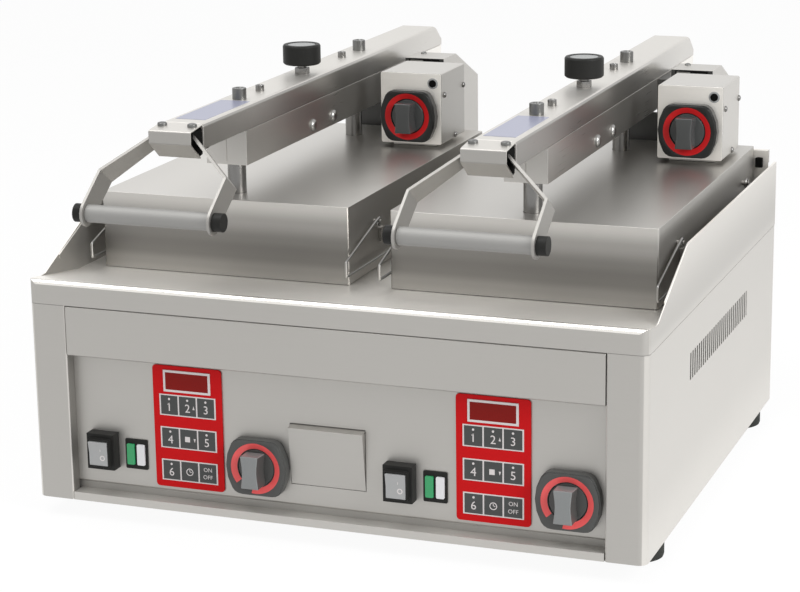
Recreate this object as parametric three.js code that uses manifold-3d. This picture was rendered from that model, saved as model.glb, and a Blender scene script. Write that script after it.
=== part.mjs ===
// A countertop contact grill with two hinged cooking lids side by side on one steel body.
// Millimetres, +Z up, the front towards -Y. Inside this file the zero point is the middle
// of the body's front face at the level of the body's lower edge.

import * as THREE from 'three';
import { mergeVertices } from 'three/addons/utils/BufferGeometryUtils.js';
import Module from 'manifold-3d';

const wasm = await Module();
wasm.setup();

// Sheet metal and fits
const sheet = 1.5;
const gap = 0.3;
const bend = 3;
const overrun = 2;
const mergeReach = 1e-4;

// Body
const bodyWidth = 700;
const bodyDepth = 612;
const bodyHalf = bodyWidth / 2;
const cornerRadius = 10;
const pillarWidth = 44.2;
const pillarEdge = bodyHalf - pillarWidth;
const rearFlange = 16;
const panHeight = 9;
const panShelf = 55;
const panelSetback = 15;
const panelFootGap = 8.5;
const panelBottom = panHeight + panelFootGap;
const panelFlange = 14;
const keypadRise = 75.2;
const keypadZ = panelBottom + keypadRise;
const keypadHeight = 139;
const keypadMargin = 4.3;
const headerBottom = keypadZ + keypadHeight / 2 + keypadMargin;
const headerHeight = 57;
const headerFlange = 12;
const panelTuck = 33.5;
const panelTop = headerBottom + panelTuck;
const panelOverlap = 8;
const seamHeight = headerBottom + headerHeight;

// Worktop with its nose, splash guards and backsplash
const deckRise = 11;
const deckHeight = seamHeight + deckRise;
const noseRise = 15.9;
const noseHeight = deckHeight + noseRise;
const noseRound = 5;
const deckStart = 117;
const splashRise = 51.6;
const splashHeight = noseHeight + splashRise;
const splashFootStart = 34;
const splashKink = 161;
const hemDepth = 7;
const hemStart = 70;
const backsplashRise = 15;
const backsplashHeight = splashHeight + backsplashRise;
const backsplashInset = 9;
const backsplashDepth = 6;
const backsplashFront = bodyDepth - backsplashDepth;

// Side louvres
const louvreStart = 178;
const louvreRearRoom = 148;
const louvreEnd = bodyDepth - louvreRearRoom;
const louvreDrop = 45.5;
const louvreTop = seamHeight - louvreDrop;
const louvreHeight = 30.5;
const louvreBottom = louvreTop - louvreHeight;
const louvreCount = 29;
const louvreSlotShare = 0.55;
const louvreLean = 5;
const louvreBlade = 0.8;

// Feet
const footHeight = 21;
const footRadius = 17;
const footTaper = 3;
const footInsetX = 30;
const footFrontY = 85;
const footRearInset = 47;
const footRearY = bodyDepth - footRearInset;
const footStudRadius = 5;
const footStudLength = 12;

// Controls on the front, one set for each cooking place
const leftStationInset = 84.6;
const rightStationInset = 265.6;
const switchX = -5.1;
const switchZ = 59;
const switchWidth = 33;
const switchHeight = 41;
const switchStand = 14;
const switchCollarWidth = 26.5;
const switchCollarHeight = 31.5;
const switchCollarStand = 6;
const switchBodyDepth = 22;
const rockerWidth = 23;
const rockerHeight = 28;
const rockerDepth = 12;
const rockerTilt = THREE.MathUtils.degToRad(5);
const rockerPinRadius = 1.6;
const rockerProud = 0.8;
const indicatorX = 33;
const indicatorZ = 56.3;
const indicatorWidth = 27;
const indicatorHeight = 34.5;
const indicatorStand = 1.6;
const indicatorBodyDepth = 18;
const lampWidth = 9.3;
const lampHeight = 24;
const lampStand = 2.4;
const lampSpacing = 12.2;
const keypadX = 97.6;
const keypadWidth = 82.1;
const keypadRound = 4;
const keypadThickness = 1.6;
const keyWindowWidth = 55.9;
const keyWindowHeight = 24.6;
const keyWindowRise = 52.3;
const keyWindowZ = keypadZ + keyWindowRise;
const keyWindowStand = 0.9;
const keyWidth = 20.1;
const keyHeight = 21.6;
const keyPitch = 21.8;
const keyRowPitch = 37.3;
const keyTopRise = 24.8;
const keyTopRowZ = keypadZ + keyTopRise;
const keyStand = 0.5;
const dialX = 180.9;
const dialZ = 58.8;

// Thermostat dials, the same on the front and on the lid boxes
const bezelWidth = 71;
const bezelHeight = 63;
const bezelStand = 13;
const bezelCorner = 13;
const bezelBulgeRadius = 50;
const bezelChamfer = 2.5;
const bezelWallRadius = 28.8;
const bezelRingDrop = 2.6;
const knobRadius = 20.8;
const knobWellDepth = 9;
const knobWellFit = 0.7;
const knobDiscHeight = 6;
const knobGripHeight = 12;
const knobGripWidth = 21;
const knobGripTop = 14;
const knobGripEndRun = 6;
const knobSpindleRadius = 3;
const knobSpindleLength = 14;
const spindleFit = 0.1;

// Drip drawer
const drawerX = -4.7;
const drawerWidth = 86;
const drawerBottom = 42;
const drawerTop = 107;
const drawerLipRise = 3;
const drawerPullProud = 8;
const drawerTrayInset = 2.5;
const drawerTrayTop = 92;
const drawerLength = 400;
const drawerFit = 0.4;
const runnerLedge = 9;
const runnerGuide = 14;

// Cooking places with their hoods and upper plates
const lidGap = 48.7;
const hoodSideRoom = 25.55;
const hoodWidth = bodyHalf - lidGap / 2 - hoodSideRoom;
const lidX = (lidGap + hoodWidth) / 2;
const hoodFront = 135.3;
const hoodRearRoom = 12;
const hoodRear = bodyDepth - hoodRearRoom;
const hoodFit = 0.5;
const hoodBottom = deckHeight + hoodFit;
const hoodHeight = 87.4;
const hoodTop = hoodBottom + hoodHeight;
const hoodCorner = 2.5;
const plateSideRoom = 10.05;
const plateWidth = hoodWidth - plateSideRoom * 2;
const plateFrontRoom = 14.7;
const plateFront = hoodFront + plateFrontRoom;
const plateRearRoom = 55;
const plateDepth = hoodRear - plateRearRoom - plateFront;
const plateRise = 27.5;
const plateTop = deckHeight + plateRise;
const plateStep = 6;
const plateUnder = 20;
const plateSole = 12;
const plateWall = 10;
const gutterInset = 8;
const gutterWidth = 6;
const gutterDepth = 5;
const drainWidth = 16;
const upperPlateThickness = 30;

// Posts and the bar that carry the upper plate
const postFrontInset = 26;
const postFrontY = plateFront + postFrontInset;
const postRearInset = 65;
const postRearY = hoodRear - postRearInset;
const postYs = [postFrontY, postRearY];
const postRadius = 10.4;
const barThickness = 8;
const barWidth = 40;
const barOverhang = 24;

// Beam, its cap and the channel under it
const beamHalf = 24.6;
const beamClearance = 76.1;
const beamBottom = hoodTop + beamClearance;
const beamHeight = 27.5;
const beamTop = beamBottom + beamHeight;
const beamFront = 40;
const beamReach = 189;
const beamRear = bodyDepth + beamReach;
const beamTailRun = 25;
const beamTailDrop = 20;
const beamWall = 3;
const shoulderWidth = 4;
const shoulderDrop = 4.5;
const capFront = 7.5;
const capFall = 3.7;
const capTopFront = beamTop - capFall;
const capFace = 14;
const capNose = capTopFront - capFace;
const capUnderhang = 8.8;
const capBottom = beamBottom - capUnderhang;
const capBottomRear = 31.3;
const capBend = 2;
const channelFront = plateFront;
const channelInset = 2;
const channelRear = beamRear - channelInset;
const channelHeight = 39.5;
const channelBottom = beamBottom - channelHeight;
const channelWall = 3;
const channelSplit = 0.8;
const channelEndRise = 30;
const thumbPlaceShare = 0.5454;
const thumbY = postFrontY + (postRearY - postFrontY) * thumbPlaceShare;
const rivetFrontOffset = 29.8;
const rivetRearOffset = 34.2;
const rivetYs = [thumbY - rivetFrontOffset, thumbY + rivetRearOffset];
const rivetRise = 11;
const rivetZ = channelBottom + rivetRise;
const rivetRadius = 7;
const rivetHeight = 2.6;
const bigScrewFrontOffset = 13;
const bigScrewRearOffset = 22.5;
const bigScrewYs = [postFrontY + bigScrewFrontOffset, postRearY + bigScrewRearOffset];
const bigScrewRadius = 8;
const bigScrewHeight = 13;
const bigScrewSocket = 4.6;
const bigScrewSocketDepth = 6;
const smallScrewFrontOffset = 57;
const smallScrewRearOffset = 58.5;
const smallScrewYs = [bigScrewYs[0] + smallScrewFrontOffset, bigScrewYs[1] - smallScrewRearOffset];
const smallScrewRadius = 5;
const smallScrewHeight = 7;

// Thumb screw
const thumbRadius = 22.5;
const thumbStand = 11.5;
const thumbBottom = beamTop + thumbStand;
const thumbHeight = 23.8;
const thumbTop = thumbBottom + thumbHeight;
const thumbChamfer = 2;
const thumbRecess = 1.2;
const thumbRecessRadius = 16.5;
const thumbNeckRadius = 5.5;
const thumbStudRadius = 4;
const thumbStudReach = 25;
const thumbStudBottom = beamTop - thumbStudReach;
const nutRadius = 9;
const nutHeight = 7.5;

// Handle
const gripY = -46.9;
const gripDrop = 84.9;
const gripZ = beamTop - gripDrop;
const gripRadius = 9.6;
const gripBoltRadius = 4;
const gripCapRadius = 10;
const gripCapLength = 14;
const armThickness = 3;
const armWidth = 28;
const armPlaneX = 73;
const armBendY = -2;
const armBendDrop = 53.7;
const armBendZ = beamTop - armBendDrop;
const armBendLeanY = 25.4;
const armBendLeanZ = -17.7;
const armNeckX = 27;
const armNeckFrontY = 15.2;
const armNeckFrontDrop = 12.5;
const armNeckFrontZ = beamTop - armNeckFrontDrop;
const armNeckBackY = 31;
const armNeckBackDrop = 30;
const armNeckBackZ = beamTop - armNeckBackDrop;
const armRootX = 22;
const yokeBlockHalf = 23;
const yokeBlockRear = 68;

// Lid control box
const boxX = 99.4;
const boxWidth = 77.8;
const boxRearRoom = 37;
const boxRear = hoodRear - boxRearRoom;
const boxDepth = 87.7;
const boxFront = boxRear - boxDepth;
const boxStand = 4.7;
const boxBottom = hoodTop + boxStand;
const boxHeight = 87.2;
const boxTop = boxBottom + boxHeight;
const boxCorner = 2;
const boxSeamWidth = 0.9;
const boxSeamDepth = 1;
const boxFootWidth = 56;
const boxFootDepth = 62;
const boxWall = 2.5;
const boxDialX = 98.8;
const boxDialRise = 35.4;
const boxDialZ = boxBottom + boxDialRise;
const boxLampX = 128;
const boxLampDrop = 11.8;
const boxLampZ = boxTop - boxLampDrop;
const boxLampRadius = 4.7;
const boxLampStand = 2.2;

// Wire bails on the hood's sides
const bailOffset = 5;
const bailWire = 1.6;
const bailBend = 3;
const bailStudRadius = 3;
const bailStudY = 214.8;
const bailStudRise = 54.5;
const bailStudZ = hoodBottom + bailStudRise;
const bailRearStudInset = 63;
const bailRearStudY = hoodRear - bailRearStudInset;
const bailFrontY = 113.8;
const bailShoulderRise = 30.7;
const bailShoulderZ = hoodBottom + bailShoulderRise;
const bailRunRise = 14;
const bailRunZ = hoodBottom + bailRunRise;
const bailRearInset = 7;
const bailRearY = hoodRear - bailRearInset;
const bailEyeTurn = THREE.MathUtils.degToRad(290);
const bailHookY = 232;
const bailHookRise = 37;
const bailHookZ = hoodBottom + bailHookRise;
const bailHookWidth = 10;
const bailHookHeight = 16;
const bailHookStand = 3;

// Hinge towers behind the body
const hingeSetback = 88;
const hingeY = bodyDepth + hingeSetback;
const hingeRise = 19;
const hingeZ = channelBottom + hingeRise;
const hingePinRadius = 8;
const towerFootDrop = 27.5;
const towerBottom = seamHeight - towerFootDrop;
const towerHeadDrop = 16;
const towerTop = beamTop - towerHeadDrop;
const towerDepth = 136;
const towerRear = bodyDepth + towerDepth;
const towerRoofDepth = 48;
const towerChamferY = bodyDepth + towerRoofDepth;
const towerChamferDrop = 41;
const towerChamferZ = towerTop - towerChamferDrop;
const towerRight = 94;
const towerStepX = 42;
const towerFit = 0.4;
const cheekClearance = 1.5;
const cheekTop = beamBottom - cheekClearance;
const cheekSetback = 40;
const cheekFront = bodyDepth + cheekSetback;
const slotDepth = 108;
const slotFloor = hingeZ - slotDepth;
const slotWallFit = 4;
const slotWallTop = channelBottom - slotWallFit;
const towerFlange = 5;
const towerWall = 4;

// Cable gland
const glandInset = 100;
const glandX = glandInset - bodyHalf;
const glandZ = 70;
const glandRadius = 11;
const glandBore = 5;
const glandNut = 15;
const glandNutLength = 8;
const glandLength = 20;

// Counts of flat faces on round forms
const roundSteps = 16;
const smallSteps = 8;
const bendSteps = 3;
const wireSides = 6;

const axisX = new THREE.Vector3(1, 0, 0);
const axisY = new THREE.Vector3(0, 1, 0);
const axisZ = new THREE.Vector3(0, 0, 1);
const halfTurn = Math.PI;
const quarterTurn = halfTurn / 2;
const fullTurn = halfTurn * 2;

// Outlines are lists of [a, b] points

function rectangle(a0, a1, b0, b1) {
  return [[a0, b0], [a1, b0], [a1, b1], [a0, b1]];
}

function arc(a, b, radius, start, end, steps) {
  const points = [];
  for (let i = 0; i <= steps; i += 1) {
    const angle = start + (end - start) * i / steps;
    points.push([a + radius * Math.cos(angle), b + radius * Math.sin(angle)]);
  }
  return points;
}

function circle(a, b, radius, steps = roundSteps) {
  return arc(a, b, radius, 0, fullTurn, steps).slice(0, -1);
}

function roundedRectangle(a0, a1, b0, b1, radius, steps = bendSteps) {
  return [
    ...arc(a1 - radius, b0 + radius, radius, -quarterTurn, 0, steps),
    ...arc(a1 - radius, b1 - radius, radius, 0, quarterTurn, steps),
    ...arc(a0 + radius, b1 - radius, radius, quarterTurn, halfTurn, steps),
    ...arc(a0 + radius, b0 + radius, radius, halfTurn, halfTurn + quarterTurn, steps),
  ];
}

// A polygon's corners rounded one by one: each point is [a, b] or [a, b, radius].
// Each returned point also holds its unit normal to the left of the path.
function roundedPath(path) {
  const points = [];
  path.forEach(([a, b, radius = 0], i) => {
    const here = new THREE.Vector2(a, b);
    const into = i > 0 ? here.clone().sub(new THREE.Vector2(...path[i - 1])).normalize() : null;
    const out = i < path.length - 1 ? new THREE.Vector2(...path[i + 1]).sub(here).normalize() : null;
    const entry = into ?? out;
    const exit = out ?? into;
    const turn = Math.atan2(entry.cross(exit), entry.dot(exit));
    if (!into || !out || radius === 0) {
      const middle = entry.clone().add(exit).normalize();
      points.push({ a, b, normal: [-middle.y, middle.x], stretch: 1 / Math.cos(turn / 2) });
      return;
    }
    const side = Math.sign(turn);
    const start = here.clone().addScaledVector(into, -radius * Math.tan(Math.abs(turn) / 2));
    const centre = start.clone().add(new THREE.Vector2(-into.y, into.x).multiplyScalar(side * radius));
    const first = Math.atan2(start.y - centre.y, start.x - centre.x);
    const steps = radius > bend ? bendSteps * 2 : bendSteps;
    arc(centre.x, centre.y, radius, first, first + turn, steps).forEach(([pa, pb]) => {
      const normal = [side * (centre.x - pa) / radius, side * (centre.y - pb) / radius];
      points.push({ a: pa, b: pb, normal, stretch: 1 });
    });
  });
  return points;
}

// The section of a sheet folded along a path, with its thickness to the left of the path
function foldedSheet(path, thickness = sheet) {
  const face = roundedPath(path);
  const back = face.map(({ a, b, normal, stretch }) => [
    a + normal[0] * thickness * stretch,
    b + normal[1] * thickness * stretch,
  ]);
  return [...face.map(({ a, b }) => [a, b]), ...back.reverse()];
}

// Solids

function solid(geometry) {
  geometry.deleteAttribute('normal');
  geometry.deleteAttribute('uv');
  const merged = mergeVertices(geometry, mergeReach);
  return new wasm.Manifold(new wasm.Mesh({
    numProp: 3,
    vertProperties: Float32Array.from(merged.attributes.position.array),
    triVerts: Uint32Array.from(merged.index.array),
  }));
}

function shapeOf(outline) {
  const ccw = THREE.ShapeUtils.area(outline.map(([a, b]) => new THREE.Vector2(a, b))) > 0;
  const ordered = ccw ? outline : [...outline].reverse();
  return new THREE.Shape(ordered.map(([a, b]) => new THREE.Vector2(a, b)));
}

// An outline drawn across an axis and carried along it. Across x the outline is (y, z),
// across y it is (x, z) and across z it is (x, y).
function prism(axis, outline, from, to) {
  const geometry = new THREE.ExtrudeGeometry(shapeOf(outline), {
    depth: to - from,
    bevelEnabled: false,
  });
  const frame = new THREE.Matrix4();
  if (axis === 'x') frame.makeBasis(axisY, axisZ, axisX).setPosition(from, 0, 0);
  if (axis === 'y') frame.makeBasis(axisX, axisZ, axisY.clone().negate()).setPosition(0, to, 0);
  if (axis === 'z') frame.setPosition(0, 0, from);
  return solid(geometry.applyMatrix4(frame));
}

function block(x0, x1, y0, y1, z0, z1) {
  return prism('z', rectangle(x0, x1, y0, y1), z0, z1);
}

function rod(axis, a, b, radius, from, to, steps = roundSteps) {
  return prism(axis, circle(a, b, radius, steps), from, to);
}

// The corner radius of a faceted bore whose flats clear a pin that turns in it
function boreRadius(radius, steps = roundSteps) {
  return (radius + spindleFit) / Math.cos(halfTurn / steps);
}

// A profile of [radius, height] points turned round an upright axis at x, y
function turned(profile, x, y, z, steps = roundSteps) {
  const geometry = new THREE.LatheGeometry(profile.map(([r, h]) => new THREE.Vector2(r, h)), steps);
  geometry.rotateX(quarterTurn);
  geometry.translate(x, y, z);
  return solid(geometry);
}

// The same with its axis along y and its heights counted towards the front
function turnedForward(profile, x, y, z, steps = roundSteps) {
  const geometry = new THREE.LatheGeometry(profile.map(([r, h]) => new THREE.Vector2(r, h)), steps);
  geometry.rotateX(halfTurn);
  geometry.translate(x, y, z);
  return solid(geometry);
}

// A flat plate of even thickness whose middle plane holds the given corners
function plate(corners, thickness) {
  const origin = corners[0];
  const along = corners[1].clone().sub(origin).normalize();
  const last = corners[corners.length - 1].clone().sub(origin);
  const normal = along.clone().cross(last).normalize();
  const across = normal.clone().cross(along);
  const outline = corners.map((corner) => {
    const arm = corner.clone().sub(origin);
    return [arm.dot(along), arm.dot(across)];
  });
  const geometry = new THREE.ExtrudeGeometry(shapeOf(outline), { depth: thickness, bevelEnabled: false });
  geometry.translate(0, 0, -thickness / 2);
  const frame = new THREE.Matrix4().makeBasis(along, across, normal).setPosition(origin);
  return solid(geometry.applyMatrix4(frame));
}

// A curve that passes exactly through its listed points, one for each step
class Route extends THREE.Curve {
  constructor(points) {
    super();
    this.points = points;
  }

  getPointAt(share, target = new THREE.Vector3()) {
    return target.copy(this.points[Math.round(share * (this.points.length - 1))]);
  }

  getTangentAt(share, target = new THREE.Vector3()) {
    const last = this.points.length - 1;
    const index = Math.round(share * last);
    const before = this.points[Math.max(index - 1, 0)];
    const after = this.points[Math.min(index + 1, last)];
    return target.copy(after).sub(before).normalize();
  }
}

function wire(points, radius) {
  const geometry = new THREE.ExtrudeGeometry(shapeOf(circle(0, 0, radius, wireSides)), {
    steps: points.length - 1,
    extrudePath: new Route(points),
    bevelEnabled: false,
  });
  return solid(geometry);
}

function joined(...bodies) {
  return bodies.flat(Infinity).reduce((sum, body) => sum.add(body));
}

function cut(body, ...tools) {
  return tools.flat(Infinity).reduce((rest, tool) => rest.subtract(tool), body);
}

function meshOf(name, body, material) {
  const { vertProperties, triVerts } = body.getMesh();
  const geometry = new THREE.BufferGeometry();
  geometry.setAttribute('position', new THREE.BufferAttribute(vertProperties, 3));
  geometry.setIndex(new THREE.BufferAttribute(triVerts, 1));
  geometry.computeVertexNormals();
  const mesh = new THREE.Mesh(geometry, material);
  mesh.name = name;
  return mesh;
}

// Materials

function brushedSteel() {
  return new THREE.MeshStandardMaterial({ color: 0xc9c5bf, roughness: 0.38, metalness: 0.85 });
}

function darkSteel() {
  return new THREE.MeshStandardMaterial({ color: 0x8d8983, roughness: 0.4, metalness: 0.9 });
}

function polishedSteel() {
  return new THREE.MeshStandardMaterial({ color: 0xb9b8b6, roughness: 0.22, metalness: 0.95 });
}

function castIron() {
  return new THREE.MeshStandardMaterial({ color: 0x35332f, roughness: 0.65, metalness: 0.6 });
}

function blackPlastic() {
  return new THREE.MeshStandardMaterial({ color: 0x242424, roughness: 0.5, metalness: 0 });
}

function blackRubber() {
  return new THREE.MeshStandardMaterial({ color: 0x1b1b1b, roughness: 0.85, metalness: 0 });
}

function greyPlastic() {
  return new THREE.MeshStandardMaterial({ color: 0x8f9494, roughness: 0.45, metalness: 0 });
}

function redFilm() {
  return new THREE.MeshStandardMaterial({ color: 0xc9252b, roughness: 0.45, metalness: 0 });
}

// Body sheets

function mirrored(path, side) {
  const points = path.map(([a, b, radius]) => [a * side, b, radius]);
  return side > 0 ? points : points.reverse();
}

// The body's plan with rounded corners, drawn in by an inset
function bodyPlan(inset) {
  const half = bodyHalf - inset;
  const radius = cornerRadius - inset;
  const corner = inset + radius;
  const rear = bodyDepth - inset;
  const rearRadius = bend - inset;
  const rearCorners = rearRadius > 0 ? [
    ...arc(half - rearRadius, rear - rearRadius, rearRadius, 0, quarterTurn, bendSteps),
    ...arc(-half + rearRadius, rear - rearRadius, rearRadius, quarterTurn, halfTurn, bendSteps),
  ] : [[half, rear], [-half, rear]];
  return [
    ...arc(half - radius, corner, radius, -quarterTurn, 0, bendSteps * 2),
    ...rearCorners,
    ...arc(-half + radius, corner, radius, halfTurn, halfTurn + quarterTurn, bendSteps * 2),
  ];
}

function sidePanelPath(side) {
  return mirrored([
    [pillarEdge, panelSetback - gap],
    [pillarEdge, 0, bend],
    [bodyHalf, 0, cornerRadius],
    [bodyHalf, bodyDepth, bend],
    [bodyHalf - rearFlange, bodyDepth],
  ], side);
}

function louvres(side) {
  const pitch = (louvreEnd - louvreStart) / louvreCount;
  const slot = pitch * louvreSlotShare;
  const inner = bodyHalf - sheet;
  const slots = [];
  const blades = [];
  for (let i = 0; i < louvreCount; i += 1) {
    const front = louvreStart + pitch * i;
    const back = front + slot;
    const opening = rectangle(inner - overrun, bodyHalf + overrun, front, back);
    const blade = [
      [inner + sheet / 2, back],
      [inner + sheet / 2, back + louvreBlade],
      [inner - louvreLean, front + louvreBlade],
      [inner - louvreLean, front],
    ];
    slots.push(prism('z', mirrored(opening, side), louvreBottom, louvreTop));
    blades.push(prism('z', mirrored(blade, side), louvreBottom - sheet, louvreTop + sheet));
  }
  return { slots, blades };
}

function sidePanel(side) {
  const skin = prism('z', foldedSheet(sidePanelPath(side)), 0, seamHeight - gap);
  const { slots, blades } = louvres(side);
  return joined(cut(skin, slots), blades);
}

function rearPanel() {
  const half = bodyHalf - rearFlange - gap;
  const skin = block(-half, half, bodyDepth - sheet, bodyDepth, panHeight + gap, seamHeight - gap);
  return cut(skin, rod('y', glandX, glandZ, glandRadius + gap, bodyDepth - sheet - overrun,
    bodyDepth + overrun));
}

function drawerRunners() {
  const trayHalf = drawerWidth / 2 - drawerTrayInset;
  const web = trayHalf + drawerFit;
  const ledgeTop = drawerBottom + drawerTrayInset - gap;
  const from = panelSetback + panelFlange + sheet + overrun;
  const to = from + drawerLength;
  const runners = [-1, 1].map((side) => prism('y', [
    [drawerX + side * web, sheet / 2],
    [drawerX + side * (web + sheet), sheet / 2],
    [drawerX + side * (web + sheet), ledgeTop + runnerGuide],
    [drawerX + side * web, ledgeTop + runnerGuide],
    [drawerX + side * web, ledgeTop],
    [drawerX + side * (web - runnerLedge), ledgeTop],
    [drawerX + side * (web - runnerLedge), ledgeTop - sheet],
    [drawerX + side * web, ledgeTop - sheet],
  ], from, to));
  const stop = block(drawerX - web - sheet, drawerX + web + sheet, to - sheet, to,
    sheet / 2, ledgeTop + runnerGuide);
  return [...runners, stop];
}

function basePan() {
  const inset = sheet + gap;
  const wall = cut(
    prism('z', bodyPlan(inset), 0, panHeight),
    prism('z', bodyPlan(inset + sheet), sheet, panHeight + overrun),
  );
  const railHalf = pillarEdge - gap;
  const rail = block(-railHalf, railHalf, 0, inset + sheet, 0, panHeight);
  const shelf = block(-railHalf, railHalf, 0, panShelf, panHeight - sheet, panHeight);
  const studHoles = footPlaces().map(([x, y]) =>
    rod('z', x, y, boreRadius(footStudRadius, smallSteps), -overrun, sheet + overrun, smallSteps));
  const notches = [-1, 1].map((side) => prism('z', mirrored(
    rectangle(pillarEdge - gap, pillarEdge + bend + gap, -overrun, panelSetback), side),
    -overrun, panHeight + overrun));
  return cut(joined(wall, rail, shelf, drawerRunners()), studHoles, notches);
}

function headerPanel() {
  const top = seamHeight - gap;
  const half = pillarEdge - gap;
  return prism('x', foldedSheet([
    [headerFlange, top],
    [0, top, bend],
    [0, headerBottom, bend],
    [panelSetback - gap, headerBottom],
  ]), -half, half);
}

function stationXs() {
  return [leftStationInset - bodyHalf, bodyHalf - rightStationInset];
}

function controlCutOuts(x) {
  const from = panelSetback - overrun;
  const to = panelSetback + sheet + overrun;
  const switchHalf = rockerWidth / 2 + gap * 2;
  const switchRise = rockerHeight / 2 + gap * 2;
  const lampHalf = indicatorWidth / 2 - sheet;
  const lampRise = indicatorHeight / 2 - sheet;
  return [
    prism('y', rectangle(x + switchX - switchHalf, x + switchX + switchHalf,
      switchZ - switchRise, switchZ + switchRise), from, to),
    prism('y', rectangle(x + indicatorX - lampHalf, x + indicatorX + lampHalf,
      indicatorZ - lampRise, indicatorZ + lampRise), from, to),
    rod('y', x + dialX, dialZ, knobSpindleRadius + gap, from, to, smallSteps),
  ];
}

function controlPanel() {
  const half = pillarEdge + panelOverlap;
  const skin = prism('x', foldedSheet([
    [panelSetback, panelTop],
    [panelSetback, panelBottom, bend],
    [panelSetback + panelFlange, panelBottom],
  ]), -half, half);
  const mouth = block(drawerX - drawerWidth / 2 - drawerFit, drawerX + drawerWidth / 2 + drawerFit,
    panelSetback - overrun, panelSetback + sheet + overrun,
    drawerBottom - drawerFit, drawerTop + drawerLipRise + drawerFit);
  return cut(skin, mouth, stationXs().map(controlCutOuts));
}

function deckProfile(drop) {
  const round = noseRound - drop;
  return [
    [drop, seamHeight - drop * 2],
    ...arc(noseRound, noseHeight - noseRound, round, halfTurn, quarterTurn, bendSteps),
    [deckStart, deckHeight - drop],
    [bodyDepth - drop, deckHeight - drop],
    [bodyDepth - drop, seamHeight - drop * 2],
  ];
}

function splashGuard(side) {
  const outer = side * bodyHalf;
  const inner = side * (bodyHalf - sheet);
  const rise = splashHeight - noseHeight;
  const run = splashKink - splashFootStart;
  const guard = prism('x', [
    [cornerRadius, seamHeight],
    [bodyDepth, seamHeight],
    [bodyDepth, splashHeight],
    ...arc(splashKink, splashHeight - cornerRadius, cornerRadius,
      quarterTurn, quarterTurn + Math.atan2(rise, run), bendSteps),
    [splashFootStart + noseRound, noseHeight - noseRound / 2],
    [cornerRadius, noseHeight - noseRound],
  ], Math.min(outer, inner), Math.max(outer, inner));
  const slope = rise / run;
  const hemFoot = noseHeight + (hemStart - splashFootStart) * slope;
  const hem = prism('x', foldedSheet([
    [bodyDepth, splashHeight],
    [splashKink + cornerRadius / 2, splashHeight],
    [hemStart, hemFoot - hemDepth / 2],
  ], hemDepth), side > 0 ? inner - sheet : inner - sheet / 2, side > 0 ? inner + sheet / 2 : inner + sheet);
  return joined(guard, hem);
}

function backsplash() {
  const half = bodyHalf - backsplashInset;
  return prism('x', foldedSheet([
    [bodyDepth, backsplashHeight - rearFlange],
    [bodyDepth, backsplashHeight, sheet],
    [backsplashFront, backsplashHeight, sheet],
    [backsplashFront, deckHeight - sheet],
  ]), -half, half);
}

function plateCutOut(x) {
  const half = plateWidth / 2 - plateStep + gap;
  return block(x - half, x + half, plateFront + plateStep - gap,
    plateFront + plateDepth - plateStep + gap, deckHeight - sheet - overrun, deckHeight + overrun);
}

function worktop() {
  const top = noseHeight + overrun;
  const outer = prism('x', deckProfile(0), -bodyHalf, bodyHalf)
    .intersect(prism('z', bodyPlan(0), 0, top));
  const inner = prism('x', deckProfile(sheet), -bodyHalf, bodyHalf)
    .intersect(prism('z', bodyPlan(sheet), 0, top));
  const shell = cut(outer, inner);
  return cut(joined(shell, splashGuard(-1), splashGuard(1), backsplash()), [-lidX, lidX].map(plateCutOut));
}

function footPlaces() {
  const x = bodyHalf - footInsetX;
  return [[-x, footFrontY], [x, footFrontY], [-x, footRearY], [x, footRearY]];
}

function foot() {
  return turned([
    [0, -footHeight],
    [footRadius - footTaper, -footHeight],
    [footRadius, -footHeight + footTaper],
    [footRadius, -footTaper],
    [footRadius - footTaper, 0],
    [footStudRadius, 0],
    [footStudRadius, footStudLength],
    [0, footStudLength],
  ], 0, 0, 0);
}

function cableGland() {
  const out = bodyDepth + gap;
  return cut(
    joined(
      rod('y', glandX, glandZ, glandRadius, bodyDepth - sheet - glandNutLength, out + glandLength),
      prism('y', circle(glandX, glandZ, glandNut, wireSides), out, out + glandNutLength),
    ),
    rod('y', glandX, glandZ, glandBore, bodyDepth - sheet - glandNutLength - overrun,
      out + glandLength + overrun, smallSteps),
  );
}

// Controls, each drawn round its own station's zero

function switchHousing() {
  const front = panelSetback - switchStand;
  const collar = front - switchCollarStand;
  const wide = rockerWidth / 2 + gap;
  const tall = rockerHeight / 2 + gap;
  const base = prism('y', rectangle(switchX - switchWidth / 2, switchX + switchWidth / 2,
    switchZ - switchHeight / 2, switchZ + switchHeight / 2), front, panelSetback - gap);
  const rim = prism('y', roundedRectangle(switchX - switchCollarWidth / 2, switchX + switchCollarWidth / 2,
    switchZ - switchCollarHeight / 2, switchZ + switchCollarHeight / 2, sheet),
    collar, front + overrun);
  const well = prism('y', rectangle(switchX - wide, switchX + wide, switchZ - tall, switchZ + tall),
    collar - overrun, collar + rockerDepth + overrun);
  const pivot = rod('x', collar + rockerDepth / 2, switchZ, rockerPinRadius,
    switchX - wide - gap, switchX + wide + gap, smallSteps);
  const backBody = block(switchX - rockerWidth / 2, switchX + rockerWidth / 2,
    panelSetback - overrun, panelSetback + switchBodyDepth,
    switchZ - rockerHeight / 2, switchZ + rockerHeight / 2);
  return joined(cut(joined(base, rim, backBody), well), pivot);
}

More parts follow.
